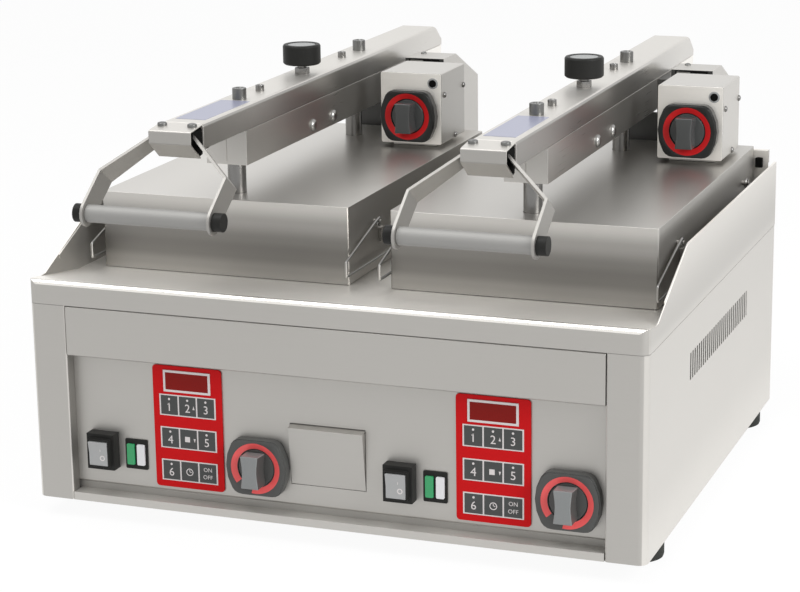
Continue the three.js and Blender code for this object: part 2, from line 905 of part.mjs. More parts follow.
// The rocker's face is a shallow V. It is drawn switched off, with its upper half forward.
function rocker() {
  const collar = panelSetback - switchStand - switchCollarStand;
  const front = collar - rockerProud;
  const half = rockerHeight / 2 - gap;
  const dip = half * Math.tan(rockerTilt);
  const pivotY = collar + rockerDepth / 2;
  const body = prism('x', [
    [front, switchZ - half],
    [front + dip, switchZ],
    [front, switchZ + half],
    [pivotY, switchZ + half],
    [pivotY + rockerDepth / 3, switchZ + half / 2],
    [pivotY + rockerDepth / 3, switchZ - half / 2],
    [pivotY, switchZ - half],
  ], switchX - rockerWidth / 2 + gap, switchX + rockerWidth / 2 - gap);
  const bore = rod('x', pivotY, switchZ, boreRadius(rockerPinRadius, smallSteps),
    switchX - rockerWidth, switchX + rockerWidth, smallSteps);
  return cut(body, bore)
    .translate([0, -pivotY, -switchZ])
    .rotate([THREE.MathUtils.radToDeg(rockerTilt), 0, 0])
    .translate([0, pivotY, switchZ]);
}

function indicator() {
  const front = panelSetback - indicatorStand;
  const frame = prism('y', roundedRectangle(indicatorX - indicatorWidth / 2,
    indicatorX + indicatorWidth / 2, indicatorZ - indicatorHeight / 2,
    indicatorZ + indicatorHeight / 2, sheet), front, panelSetback - gap);
  const bodyHalfWidth = indicatorWidth / 2 - sheet - gap;
  const bodyRise = indicatorHeight / 2 - sheet - gap;
  const backBody = block(indicatorX - bodyHalfWidth, indicatorX + bodyHalfWidth,
    panelSetback - indicatorStand / 2, panelSetback + indicatorBodyDepth,
    indicatorZ - bodyRise, indicatorZ + bodyRise);
  const lamps = [-1, 1].map((side) => {
    const x = indicatorX + side * lampSpacing / 2;
    return prism('y', roundedRectangle(x - lampWidth / 2, x + lampWidth / 2,
      indicatorZ - lampHeight / 2, indicatorZ + lampHeight / 2, sheet),
      front - lampStand, front + indicatorStand / 2);
  });
  return joined(frame, backBody, lamps);
}

function keypad() {
  const front = panelSetback - gap - keypadThickness;
  const film = prism('y', roundedRectangle(keypadX - keypadWidth / 2, keypadX + keypadWidth / 2,
    keypadZ - keypadHeight / 2, keypadZ + keypadHeight / 2, keypadRound),
    front, panelSetback - gap);
  const windowFrame = prism('y', rectangle(keypadX - keyWindowWidth / 2, keypadX + keyWindowWidth / 2,
    keyWindowZ - keyWindowHeight / 2, keyWindowZ + keyWindowHeight / 2),
    front - keyWindowStand, front + keypadThickness / 2);
  const keys = [];
  for (let row = 0; row < 3; row += 1) {
    for (let column = -1; column <= 1; column += 1) {
      const x = keypadX + column * keyPitch;
      const z = keyTopRowZ - row * keyRowPitch;
      keys.push(prism('y', rectangle(x - keyWidth / 2, x + keyWidth / 2, z - keyHeight / 2,
        z + keyHeight / 2), front - keyStand, front + keypadThickness / 2));
    }
  }
  return joined(film, windowFrame, keys);
}

// A form with a flat top and bottom and bulged sides, and round corners that run into both
function bezelOutline(x, z, inset) {
  const bulge = bezelBulgeRadius - inset;
  const corner = bezelCorner - inset;
  const rise = bezelHeight / 2 - bezelCorner;
  const reach = Math.asin(rise / (bulge - corner));
  const middle = bezelWidth / 2 - inset - bulge;
  const across = middle + (bulge - corner) * Math.cos(reach);
  return [
    ...arc(x + middle, z, bulge, -reach, reach, bendSteps + 1).slice(0, -1),
    ...arc(x + across, z + rise, corner, reach, quarterTurn, bendSteps),
    ...arc(x - across, z + rise, corner, quarterTurn, halfTurn - reach, bendSteps).slice(0, -1),
    ...arc(x - middle, z, bulge, halfTurn - reach, halfTurn + reach, bendSteps + 1).slice(0, -1),
    ...arc(x - across, z - rise, corner, halfTurn + reach, halfTurn + quarterTurn, bendSteps),
    ...arc(x + across, z - rise, corner, -quarterTurn, -reach, bendSteps).slice(0, -1),
  ];
}

function dialBezel(x, mountY, z) {
  const back = mountY - gap;
  const front = back - bezelStand;
  const lower = prism('y', bezelOutline(x, z, 0), front + bezelChamfer, back);
  const upper = prism('y', bezelOutline(x, z, bezelChamfer / 2), front, front + bezelChamfer * 2);
  const dish = turnedForward([
    [0, 0],
    [knobRadius + knobWellFit, 0],
    [bezelWallRadius, bezelRingDrop],
    [bezelWallRadius, bezelRingDrop + overrun],
    [0, bezelRingDrop + overrun],
  ], x, front + bezelRingDrop, z);
  const well = rod('y', x, z, knobRadius + knobWellFit, front - overrun, front + knobWellDepth);
  const bore = rod('y', x, z, boreRadius(knobSpindleRadius, smallSteps), front, back + overrun, smallSteps);
  return cut(joined(lower, upper), dish, well, bore);
}

function dialKnob(x, mountY, z, spindleLength) {
  const back = mountY - gap;
  const seat = back - bezelStand + knobWellDepth - gap;
  const face = seat - knobDiscHeight;
  const disc = turnedForward([
    [0, 0],
    [knobRadius, 0],
    [knobRadius, knobDiscHeight - sheet],
    [knobRadius - sheet, knobDiscHeight],
    [0, knobDiscHeight],
  ], x, seat, z);
  const wide = knobGripWidth / 2;
  const narrow = knobGripTop / 2;
  const grip = prism('z', [
    [x - wide, face + overrun],
    [x + wide, face + overrun],
    [x + narrow, face - knobGripHeight],
    [x - narrow, face - knobGripHeight],
  ], z - knobRadius, z + knobRadius).intersect(turnedForward([
    [0, 0],
    [knobRadius - gap, 0],
    [knobRadius - gap, knobDiscHeight],
    [knobRadius - knobGripEndRun, knobDiscHeight + knobGripHeight],
    [0, knobDiscHeight + knobGripHeight],
  ], x, seat, z));
  const spindle = rod('y', x, z, knobSpindleRadius, seat - overrun, mountY + spindleLength, smallSteps);
  return joined(disc, grip, spindle);
}

// The drawer's front slants forward to a lip that is pulled, with a cheek on each side
function dripDrawer() {
  const half = drawerWidth / 2;
  const trayHalf = half - drawerTrayInset;
  const trayBottom = drawerBottom + drawerTrayInset;
  const trayFront = panelSetback;
  const trayRear = trayFront + drawerLength;
  const pullTop = panelSetback - drawerPullProud;
  const lipTop = drawerTop + drawerLipRise;
  const front = prism('x', foldedSheet([
    [panelSetback + sheet, lipTop],
    [pullTop, drawerTop],
    [panelSetback, drawerBottom],
    [panelSetback + sheet * 2, drawerBottom],
  ]), drawerX - half, drawerX + half);
  const cheeks = [-1, 1].map((side) => {
    const outer = drawerX + side * half;
    const inner = outer - side * sheet;
    return prism('x', [
      [pullTop + sheet / 2, drawerTop],
      [panelSetback + sheet / 2, drawerBottom],
      [panelSetback + sheet * 2, drawerBottom],
      [panelSetback + sheet * 2, drawerTrayTop],
      [panelSetback + sheet / 2, drawerTop],
    ], Math.min(outer, inner), Math.max(outer, inner));
  });
  const tray = cut(
    block(drawerX - trayHalf, drawerX + trayHalf, trayFront + sheet / 2, trayRear, trayBottom, drawerTrayTop),
    block(drawerX - trayHalf + sheet, drawerX + trayHalf - sheet, trayFront + sheet * 2,
      trayRear - sheet, trayBottom + sheet, drawerTrayTop + overrun),
  );
  const join = block(drawerX - half, drawerX + half, trayFront + sheet / 2, trayFront + sheet * 2,
    drawerBottom, drawerTrayTop);
  return joined(front, cheeks, tray, join);
}

function lowerPlate() {
  const half = plateWidth / 2;
  const rear = plateFront + plateDepth;
  const slab = block(-half, half, plateFront, rear, deckHeight + gap, plateTop);
  const under = block(-half + plateStep, half - plateStep, plateFront + plateStep,
    rear - plateStep, deckHeight - plateUnder, deckHeight + overrun);
  const edge = plateStep + plateWall;
  const hollow = block(-half + edge, half - edge, plateFront + edge, rear - edge,
    deckHeight - plateUnder - overrun, plateTop - plateSole);
  const trench = cut(
    block(-half + gutterInset, half - gutterInset, plateFront + gutterInset,
      rear - gutterInset, plateTop - gutterDepth, plateTop + overrun),
    block(-half + gutterInset + gutterWidth, half - gutterInset - gutterWidth,
      plateFront + gutterInset + gutterWidth, rear - gutterInset - gutterWidth,
      plateTop - gutterDepth - overrun, plateTop + overrun * 2),
  );
  const drain = block(-drainWidth / 2, drainWidth / 2, plateFront - overrun,
    plateFront + gutterInset + gutterWidth / 2, plateTop - gutterDepth, plateTop + overrun);
  return cut(joined(slab, under), hollow, trench, drain);
}

// Lid pieces, each drawn round its own lid's middle

function upperPlate() {
  const half = plateWidth / 2;
  const bottom = plateTop + gap;
  const rear = plateFront + plateDepth;
  return cut(
    block(-half, half, plateFront, rear, bottom, bottom + upperPlateThickness),
    block(-half + plateWall, half - plateWall, plateFront + plateWall, rear - plateWall,
      bottom + plateSole, bottom + upperPlateThickness + overrun),
  );
}

function liftFrame() {
  const bottom = plateTop + gap * 2 + upperPlateThickness;
  const [front, rear] = postYs;
  const bar = block(-barWidth / 2, barWidth / 2, front - barOverhang, rear + barOverhang - gap,
    bottom, bottom + barThickness);
  const posts = postYs.map((y) => rod('z', 0, y, postRadius, bottom + overrun, channelBottom - gap));
  return joined(bar, posts);
}

function hoodStuds(side) {
  const face = side * hoodWidth / 2;
  const tip = side * (hoodWidth / 2 + bailOffset + bailWire * 2);
  const studs = [bailStudY, bailRearStudY].map((y) => rod('x', y, bailStudZ, bailStudRadius,
    Math.min(face - side * sheet / 2, tip), Math.max(face - side * sheet / 2, tip), smallSteps));
  const hookTip = side * (hoodWidth / 2 + bailHookStand);
  const hook = block(Math.min(face - side * sheet / 2, hookTip), Math.max(face - side * sheet / 2, hookTip),
    bailHookY - bailHookWidth / 2, bailHookY + bailHookWidth / 2,
    bailHookZ - bailHookHeight / 2, bailHookZ + bailHookHeight / 2);
  return [...studs, hook];
}

function hood() {
  const half = hoodWidth / 2;
  const outer = prism('z', roundedRectangle(-half, half, hoodFront, hoodRear, hoodCorner),
    hoodBottom, hoodTop);
  const inner = prism('z', roundedRectangle(-half + sheet, half - sheet, hoodFront + sheet,
    hoodRear - sheet, hoodCorner - sheet / 2), hoodBottom - overrun, hoodTop - sheet);
  const holes = postYs.map((y) =>
    rod('z', 0, y, postRadius + gap, hoodTop - sheet - overrun, hoodTop + overrun));
  return joined(cut(outer, inner, holes), hoodStuds(-1), hoodStuds(1));
}

function beamSection(inset) {
  const half = beamHalf - inset;
  const top = beamTop - inset;
  const shoulder = [];
  for (let i = 0; i <= bendSteps + 1; i += 1) {
    const angle = quarterTurn * i / (bendSteps + 1);
    shoulder.push([
      half - shoulderWidth + shoulderWidth * Math.cos(angle),
      top - shoulderDrop + shoulderDrop * Math.sin(angle),
    ]);
  }
  const bottom = inset > 0 ? beamBottom - overrun : beamBottom;
  return [
    [-half, bottom],
    [half, bottom],
    ...shoulder,
    ...shoulder.map(([x, z]) => [-x, z]).reverse(),
  ];
}

function socketScrew(y) {
  return cut(
    rod('z', 0, y, bigScrewRadius, beamTop - beamWall / 2, beamTop + bigScrewHeight, smallSteps),
    prism('z', circle(0, y, bigScrewSocket, wireSides), beamTop + bigScrewHeight - bigScrewSocketDepth,
      beamTop + bigScrewHeight + overrun),
  );
}

function beam() {
  const outer = prism('y', beamSection(0), beamFront, beamRear);
  const inner = prism('y', beamSection(beamWall), beamFront - overrun, beamRear - beamTailRun - beamWall);
  const slope = prism('x', [
    [beamRear - beamTailRun, beamTop],
    [beamRear - beamTailRun, beamTop + overrun],
    [beamRear + overrun, beamTop + overrun],
    [beamRear + overrun, beamTop - beamTailDrop],
    [beamRear, beamTop - beamTailDrop],
  ], -beamHalf - overrun, beamHalf + overrun);
  const nut = prism('z', circle(0, thumbY, nutRadius, wireSides),
    beamTop - beamWall / 2, beamTop + nutHeight);
  const smallScrews = smallScrewYs.map((y) =>
    rod('z', 0, y, smallScrewRadius, beamTop - beamWall / 2, beamTop + smallScrewHeight, smallSteps));
  const screwHole = rod('z', 0, thumbY, boreRadius(thumbStudRadius), beamTop - beamWall * 2,
    beamTop + nutHeight + overrun);
  return cut(joined(cut(outer, inner, slope), nut, smallScrews, bigScrewYs.map(socketScrew)), screwHole);
}

function capPath() {
  return [
    [beamFront - gap, beamTop],
    [capFront, capTopFront, capBend],
    [capFront, capNose, capBend],
    [capBottomRear, capBottom],
  ];
}

function beamCap() {
  return prism('x', foldedSheet(capPath()), -beamHalf, beamHalf);
}

// Two flanges close the channel's front and meet on its middle line
function channel() {
  const side = prism('x', [
    [channelFront, beamBottom - gap],
    [channelFront, channelBottom],
    [channelRear - channelEndRise, channelBottom],
    [channelRear, channelBottom + channelEndRise],
    [channelRear, beamBottom - gap],
  ], -beamHalf, beamHalf);
  const hollow = block(-beamHalf + channelWall, beamHalf - channelWall, channelFront + channelWall,
    channelRear + overrun, channelBottom + channelWall, beamBottom + overrun);
  const split = block(-channelSplit / 2, channelSplit / 2, channelFront - overrun,
    channelFront + channelSplit, channelBottom + channelWall, beamBottom + overrun);
  const pinHole = rod('x', hingeY, hingeZ, boreRadius(hingePinRadius),
    -beamHalf - overrun, beamHalf + overrun);
  const rivets = [-1, 1].flatMap((sign) => rivetYs.map((y) => rivet(sign, y)));
  return joined(cut(side, hollow, split, pinHole), rivets);
}

function rivet(sign, y) {
  const dome = new THREE.SphereGeometry(1, smallSteps, smallSteps / 2);
  dome.scale(rivetHeight, rivetRadius, rivetRadius);
  dome.translate(sign * beamHalf, y, rivetZ);
  const inside = sign * (beamHalf - channelWall / 2);
  const outside = sign * (beamHalf + rivetHeight + overrun);
  const keep = block(Math.min(inside, outside), Math.max(inside, outside),
    y - rivetRadius - overrun, y + rivetRadius + overrun,
    rivetZ - rivetRadius - overrun, rivetZ + rivetRadius + overrun);
  return solid(dome).intersect(keep);
}

function thumbScrew() {
  return turned([
    [0, thumbStudBottom],
    [thumbStudRadius, thumbStudBottom],
    [thumbStudRadius, beamTop + nutHeight + gap],
    [thumbNeckRadius, beamTop + nutHeight + gap],
    [thumbNeckRadius, thumbBottom],
    [thumbRadius - thumbChamfer, thumbBottom],
    [thumbRadius, thumbBottom + thumbChamfer],
    [thumbRadius, thumbTop - thumbChamfer],
    [thumbRadius - thumbChamfer, thumbTop],
    [thumbRecessRadius, thumbTop],
    [thumbRecessRadius, thumbTop - thumbRecess],
    [0, thumbTop - thumbRecess],
  ], 0, thumbY, 0);
}

function yokeArm(side) {
  const point = (x, y, z) => new THREE.Vector3(side * x, y, z);
  const bendFront = point(armPlaneX, armBendY - armBendLeanY / 2, armBendZ - armBendLeanZ / 2);
  const bendBack = point(armPlaneX, armBendY + armBendLeanY / 2, armBendZ + armBendLeanZ / 2);
  const reach = (armPlaneX - armRootX) / (armPlaneX - armNeckX);
  const rootBack = bendBack.clone().lerp(point(armNeckX, armNeckBackY, armNeckBackZ), reach);
  const rootFront = bendFront.clone().lerp(point(armNeckX, armNeckFrontY, armNeckFrontZ), reach);
  const upper = plate([bendFront, bendBack, rootBack, rootFront], armThickness);
  const fall = Math.atan2(gripZ - armBendZ, gripY - armBendY);
  const round = arc(gripY, gripZ, armWidth / 2, fall - quarterTurn, fall + quarterTurn, roundSteps / 2)
    .map(([y, z]) => point(armPlaneX, y, z));
  const lower = plate([bendFront, bendBack, ...orderedFrom(bendBack, round)], armThickness);
  const foldAxis = bendBack.clone().sub(bendFront);
  const foldRadius = armThickness / 2;
  const fold = solid(new THREE.CylinderGeometry(foldRadius, foldRadius, foldAxis.length(), smallSteps)
    .applyQuaternion(new THREE.Quaternion().setFromUnitVectors(axisY, foldAxis.clone().normalize()))
    .translate(...bendFront.clone().add(bendBack).divideScalar(2).toArray()));
  const boltHole = rod('x', gripY, gripZ, gripBoltRadius + gap,
    side * armPlaneX - armThickness, side * armPlaneX + armThickness, smallSteps);
  return cut(joined(upper, lower, fold), boltHole);
}

// The same points, started at the end that lies nearer to a corner
function orderedFrom(corner, points) {
  const ahead = corner.distanceTo(points[0]) < corner.distanceTo(points[points.length - 1]);
  return ahead ? points : [...points].reverse();
}

function handleYoke() {
  const drop = sheet + gap;
  const blockBody = prism('x', [
    [capFront + drop, capTopFront - drop],
    [capFront + drop, capNose + drop / 2],
    [capBottomRear, capBottom + drop + gap],
    [yokeBlockRear, beamBottom - gap],
    [yokeBlockRear, capTopFront - drop],
  ], -yokeBlockHalf, yokeBlockHalf);
  const room = prism('y', beamSection(beamWall + gap), beamFront - gap, yokeBlockRear + overrun);
  const front = block(-beamHalf, beamHalf, capFront, beamFront - gap, capBottom, beamTop);
  const capRoom = prism('x', foldedSheet(capPath(), sheet + gap), -beamHalf - gap, beamHalf + gap);
  return cut(joined(blockBody.intersect(joined(room, front)), yokeArm(-1), yokeArm(1)), capRoom);
}

function gripTube() {
  const half = armPlaneX - armThickness / 2 - gap;
  return cut(
    rod('x', gripY, gripZ, gripRadius, -half, half),
    rod('x', gripY, gripZ, gripBoltRadius + gap, -half - overrun, half + overrun, smallSteps),
  );
}

function gripBolt() {
  const start = armPlaneX + armThickness / 2 + gap;
  const end = start + gripCapLength;
  const caps = [-1, 1].map((side) => rod('x', gripY, gripZ, gripCapRadius,
    Math.min(side * start, side * end), Math.max(side * start, side * end)));
  const shank = rod('x', gripY, gripZ, gripBoltRadius, -start - overrun, start + overrun, smallSteps);
  return joined(shank, caps);
}

function controlBox() {
  const left = boxX - boxWidth / 2;
  const right = boxX + boxWidth / 2;
  const body = prism('y', roundedRectangle(left, right, boxBottom, boxTop, boxCorner), boxFront, boxRear);
  const seamFront = boxFront + sheet;
  const seam = cut(
    block(left - overrun, right + overrun, seamFront, seamFront + boxSeamWidth,
      boxBottom - overrun, boxTop + overrun),
    prism('y', roundedRectangle(left + boxSeamDepth, right - boxSeamDepth, boxBottom + boxSeamDepth,
      boxTop - boxSeamDepth, boxCorner / 2), seamFront - overrun, seamFront + boxSeamWidth + overrun),
  );
  const middleY = (boxFront + boxRear) / 2;
  const foot = block(boxX - boxFootWidth / 2, boxX + boxFootWidth / 2, middleY - boxFootDepth / 2,
    middleY + boxFootDepth / 2, hoodTop + gap, boxBottom + overrun);
  const hollow = joined(
    block(left + boxWall, right - boxWall, seamFront + boxWall, boxRear - boxWall,
      boxBottom + boxWall, boxTop - boxWall),
    block(boxX - boxFootWidth / 2 + boxWall, boxX + boxFootWidth / 2 - boxWall,
      middleY - boxFootDepth / 2 + boxWall, middleY + boxFootDepth / 2 - boxWall,
      hoodTop - overrun, boxBottom + boxWall + overrun),
  );
  const lamp = rod('y', boxLampX, boxLampZ, boxLampRadius, boxFront - boxLampStand,
    boxFront + overrun, smallSteps);
  const bore = rod('y', boxDialX, boxDialZ, boreRadius(knobSpindleRadius, smallSteps),
    boxFront - overrun, boxFront + knobSpindleLength + overrun, smallSteps);
  return cut(joined(cut(body, seam), foot, lamp), hollow, bore);
}

function bailPoints(side) {
  const eyeRadius = bailStudRadius + bailWire + gap;
  const x = side * (hoodWidth / 2 + bailOffset);
  const front = [bailFrontY, bailShoulderZ];
  const lean = Math.atan2(front[1] - bailStudZ, front[0] - bailStudY);
  const rearLean = Math.atan2(bailShoulderZ - bailStudZ, bailRearY - bailRearStudY);
  const frontEye = arc(bailStudY, bailStudZ, eyeRadius,
    lean - quarterTurn - bailEyeTurn, lean - quarterTurn, smallSteps);
  const rearEye = arc(bailRearStudY, bailStudZ, eyeRadius,
    rearLean + quarterTurn, rearLean + quarterTurn + bailEyeTurn, smallSteps);
  const run = roundedPath([
    frontEye[frontEye.length - 1],
    [...front, bailBend],
    [bailFrontY, bailRunZ, bailBend],
    [bailRearY, bailRunZ, bailBend],
    [bailRearY, bailShoulderZ, bailBend],
    rearEye[0],
  ]).slice(1, -1).map(({ a, b }) => [a, b]);
  return [...frontEye, ...run, ...rearEye].map(([y, z]) => new THREE.Vector3(x, y, z));
}

function bail(side) {
  return wire(bailPoints(side), bailWire);
}

// The tower is bolted to the body's rear and holds the lid's pin beside its channel.
// Its roof steps down beside the beam, and a low wall closes the front of the slot.
function hingeTower() {
  const face = bodyDepth + gap;
  const inner = beamHalf + towerFit;
  const housing = prism('x', [
    [face, towerBottom],
    [towerRear, towerBottom],
    [towerRear, towerChamferZ],
    [towerChamferY, towerTop],
    [face, towerTop],
  ], inner, towerRight);
  const room = prism('x', [
    [face + towerWall, towerBottom - overrun],
    [towerRear - towerWall, towerBottom - overrun],
    [towerRear - towerWall, towerChamferZ - towerWall / 2],
    [towerChamferY - towerWall / 2, towerTop - towerWall],
    [face + towerWall, towerTop - towerWall],
  ], inner + towerWall, towerRight - towerWall);
  const step = block(inner - overrun, towerStepX, face - overrun, towerRear + overrun,
    cheekTop, towerTop + overrun);
  const stepFloor = block(inner, towerStepX + towerWall, face, towerRear, cheekTop - towerWall, towerTop);
  const cheek = prism('x', [
    [face, towerBottom],
    [towerRear, towerBottom],
    [towerRear, towerChamferZ],
    [towerRear - channelEndRise, cheekTop],
    [cheekFront, cheekTop],
    [face + towerFlange, slotFloor],
    [face, slotFloor],
  ], -inner - towerWall, -inner);
  const saddle = block(-inner - overrun / 2, inner + overrun / 2, face, towerRear, towerBottom, slotFloor);
  const hollow = block(-inner, inner, face + towerFlange, towerRear - towerFlange,
    towerBottom - overrun, slotFloor - towerFlange);
  const frontWall = block(-inner - overrun / 2, inner + overrun / 2, face, face + towerFlange,
    slotFloor - overrun, slotWallTop);
  const pin = rod('x', hingeY, hingeZ, hingePinRadius, -inner - overrun, inner + overrun);
  const shell = cut(joined(housing, cheek, saddle, frontWall), hollow, cut(room, stepFloor), step);
  return joined(shell, pin);
}

// Assembly

function lidStation(side, x) {
  const station = new THREE.Group();
  station.position.x = x;
  station.add(
    meshOf(`${side}_griddle`, lowerPlate(), castIron()),
    meshOf(`${side}_upper_plate`, upperPlate(), castIron()),
    meshOf(`${side}_hood`, hood(), brushedSteel()),
    meshOf(`${side}_lift_frame`, liftFrame(), darkSteel()),
    meshOf(`${side}_channel`, channel(), brushedSteel()),
    meshOf(`${side}_beam`, beam(), brushedSteel()),
    meshOf(`${side}_beam_cap`, beamCap(), brushedSteel()),
    meshOf(`${side}_thumb_screw`, thumbScrew(), blackPlastic()),
    meshOf(`${side}_handle_yoke`, handleYoke(), brushedSteel()),
    meshOf(`${side}_handle_grip`, gripTube(), polishedSteel()),
    meshOf(`${side}_grip_bolt`, gripBolt(), blackPlastic()),
    meshOf(`${side}_control_box`, controlBox(), brushedSteel()),
    meshOf(`${side}_box_bezel`, dialBezel(boxDialX, boxFront, boxDialZ), blackPlastic()),
    meshOf(`${side}_box_knob`, dialKnob(boxDialX, boxFront, boxDialZ, knobSpindleLength), greyPlastic()),
    meshOf(`${side}_bail_outer`, bail(Math.sign(x)), polishedSteel()),
    meshOf(`${side}_bail_inner`, bail(-Math.sign(x)), polishedSteel()),
    meshOf(`${side}_hinge_tower`, hingeTower(), brushedSteel()),
  );
  return station;
}

function controlStation(side, x) {
  const station = new THREE.Group();
  station.position.x = x;
  station.add(
    meshOf(`${side}_switch_housing`, switchHousing(), blackPlastic()),
    meshOf(`${side}_rocker`, rocker(), greyPlastic()),
    meshOf(`${side}_indicator`, indicator(), blackPlastic()),
    meshOf(`${side}_keypad`, keypad(), redFilm()),
    meshOf(`${side}_dial_bezel`, dialBezel(dialX, panelSetback, dialZ), blackPlastic()),
    meshOf(`${side}_dial_knob`, dialKnob(dialX, panelSetback, dialZ, knobSpindleLength), greyPlastic()),
  );
  return station;
}

function body() {
  const frame = new THREE.Group();
  frame.add(
    meshOf('base_pan', basePan(), brushedSteel()),
    meshOf('left_side_panel', sidePanel(-1), brushedSteel()),
    meshOf('right_side_panel', sidePanel(1), brushedSteel()),
    meshOf('rear_panel', rearPanel(), brushedSteel()),
    meshOf('header_panel', headerPanel(), brushedSteel()),
    meshOf('control_panel', controlPanel(), brushedSteel()),
    meshOf('worktop', worktop(), brushedSteel()),
    meshOf('drip_drawer', dripDrawer(), brushedSteel()),
    meshOf('cable_gland', cableGland(), blackPlastic()),
  );
  const names = ['foot_front_left', 'foot_front_right', 'foot_rear_left', 'foot_rear_right'];
  footPlaces().forEach(([x, y], i) => {
    const piece = meshOf(names[i], foot(), blackRubber());
    piece.position.set(x, y, -gap);
    frame.add(piece);
  });
  return frame;
}

const grill = new THREE.Group();
grill.add(body());
['left', 'right'].forEach((side, i) => {
  grill.add(controlStation(side, stationXs()[i]));
  grill.add(lidStation(side, [-lidX, lidX][i]));
});

// The finished grill stands on its feet with the zero point under the middle of its outline
const reachFront = gripY - armWidth / 2;
grill.position.set(0, -(reachFront + beamRear) / 2, footHeight + gap);

export default grill;
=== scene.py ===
"""Dresses a countertop contact grill with two hinged lids and sets it in a small photo studio."""

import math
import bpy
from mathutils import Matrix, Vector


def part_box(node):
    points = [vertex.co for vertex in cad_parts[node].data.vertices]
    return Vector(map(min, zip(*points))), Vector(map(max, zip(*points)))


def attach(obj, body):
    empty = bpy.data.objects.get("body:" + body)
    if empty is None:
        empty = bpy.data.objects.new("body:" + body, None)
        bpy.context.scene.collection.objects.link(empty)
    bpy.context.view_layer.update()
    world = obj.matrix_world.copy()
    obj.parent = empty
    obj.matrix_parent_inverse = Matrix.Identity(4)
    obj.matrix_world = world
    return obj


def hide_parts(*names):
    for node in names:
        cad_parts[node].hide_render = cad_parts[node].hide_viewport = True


bl_info = {
    "name": "Contact grill",
    "version": (1, 0, 0),
    "blender": (4, 5, 0),
    "location": "View3D > Sidebar > Contact grill",
    "description": "Finishes the pieces of a countertop contact grill and lights it",
    "category": "Object",
}

import bpy
from bpy.props import FloatProperty, FloatVectorProperty, IntProperty, PointerProperty
from mathutils import Matrix, Vector

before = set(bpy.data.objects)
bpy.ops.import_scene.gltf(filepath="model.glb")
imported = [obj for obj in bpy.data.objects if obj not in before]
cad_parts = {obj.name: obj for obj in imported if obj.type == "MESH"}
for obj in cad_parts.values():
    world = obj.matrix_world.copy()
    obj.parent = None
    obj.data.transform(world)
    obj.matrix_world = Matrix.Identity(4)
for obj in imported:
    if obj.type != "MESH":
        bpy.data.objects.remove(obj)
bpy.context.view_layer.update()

# All lengths are in metres.
SIDES = ("left", "right")
AXES = {"X": 0, "Y": 1, "Z": 2}
FULL_TURN = 2 * math.pi
QUARTER = math.pi / 2
TOLERANCE = 1e-5
FINE_TOLERANCE = TOLERANCE / 10
FLAT_ANGLE = math.radians(0.4)
BEVEL_ANGLE = math.radians(28)
SMOOTH_ANGLE = math.radians(40)
MOULDED_ANGLE = math.radians(50)
WIRE_ANGLE = math.radians(80)
# How squarely a face turns to a side that counts as facing it
FACING = 0.9


# Settings


def colour(name, description, value):
    return FloatVectorProperty(
        name=name, description=description, default=value, size=3, min=0, max=1, subtype="COLOR")


def length(name, description, value, most):
    return FloatProperty(
        name=name, description=description, default=value, min=0.0, max=most, unit="LENGTH")


def angle(name, description, degrees):
    return FloatProperty(
        name=name, description=description, default=math.radians(degrees), subtype="ANGLE",
        unit="ROTATION")


def power(name, description, watts):
    return FloatProperty(
        name=name, description=description, default=watts, min=0.0, max=1000.0, unit="POWER")


class GrillColours(bpy.types.PropertyGroup):
    steel: colour("Steel", "Brushed sheet steel", (0.56, 0.543, 0.513))
    post_steel: colour("Post steel", "Turned posts, nuts and small screws", (0.21, 0.206, 0.2))
    bright_steel: colour("Bright steel", "Grip tubes and wires", (0.33, 0.326, 0.315))
    screw_steel: colour("Screw steel", "Socket screws on the beams", (0.17, 0.17, 0.165))
    iron: colour("Iron", "Seasoned cooking plates", (0.035, 0.033, 0.03))
    film: colour("Keypad film", "Red film of the keypads", (0.5, 0.006, 0.008))
    window: colour("Display window", "Dark red display", (0.2, 0.008, 0.006))
    key: colour("Keys", "Grey keys", (0.06, 0.063, 0.062))
    pale_print: colour("Pale print", "Numbers, marks and key frames", (0.6, 0.565, 0.56))
    front_ring: colour("Front dial ring", "Ring on the front dials", (0.78, 0.09, 0.09))
    box_ring: colour("Lid dial ring", "Ring on the lid boxes' dials", (0.56, 0.014, 0.016))
    black_plastic: colour(
        "Black plastic", "Switch cases, caps and thumb screws", (0.018, 0.018, 0.017))
    bezel_plastic: colour("Bezel plastic", "Bezels of the dials", (0.085, 0.086, 0.083))
    knob_plastic: colour("Knob plastic", "Grips of the dials", (0.19, 0.2, 0.2))
    rocker_plastic: colour("Rocker plastic", "Rockers", (0.33, 0.335, 0.335))
    green_lens: colour("Green lens", "Green indicator lens", (0.012, 0.3, 0.1))
    white_lens: colour("White lens", "White indicator lens", (0.66, 0.66, 0.68))
    label: colour("Beam label", "Bare label on each beam", (0.26, 0.27, 0.36))
    rubber: colour("Rubber", "Feet", (0.03, 0.032, 0.029))


class GrillSizes(bpy.types.PropertyGroup):
    sheet_edge: length("Sheet edge", "Rounding of the sheet edges", 0.0005, 0.003)
    hood_edge: length("Hood edge", "Rounding of the hoods' edges", 0.0008, 0.005)
    number_height: length("Number height", "Height of the numbers on the keys", 0.0092, 0.02)
    word_height: length("Word height", "Height of ON and OFF", 0.0046, 0.01)
    ring_outer: length("Ring outside", "Outer radius of the dial rings", 0.0285, 0.0288)
    ring_inner: length("Ring inside", "Inner radius of the dial rings", 0.022, 0.028)
    foot_radius: length("Foot radius", "Radius of the rubber feet", 0.027, 0.03)
    round_faces: IntProperty(
        name="Round faces", description="Side faces of a turned piece", default=64, min=16, max=128)


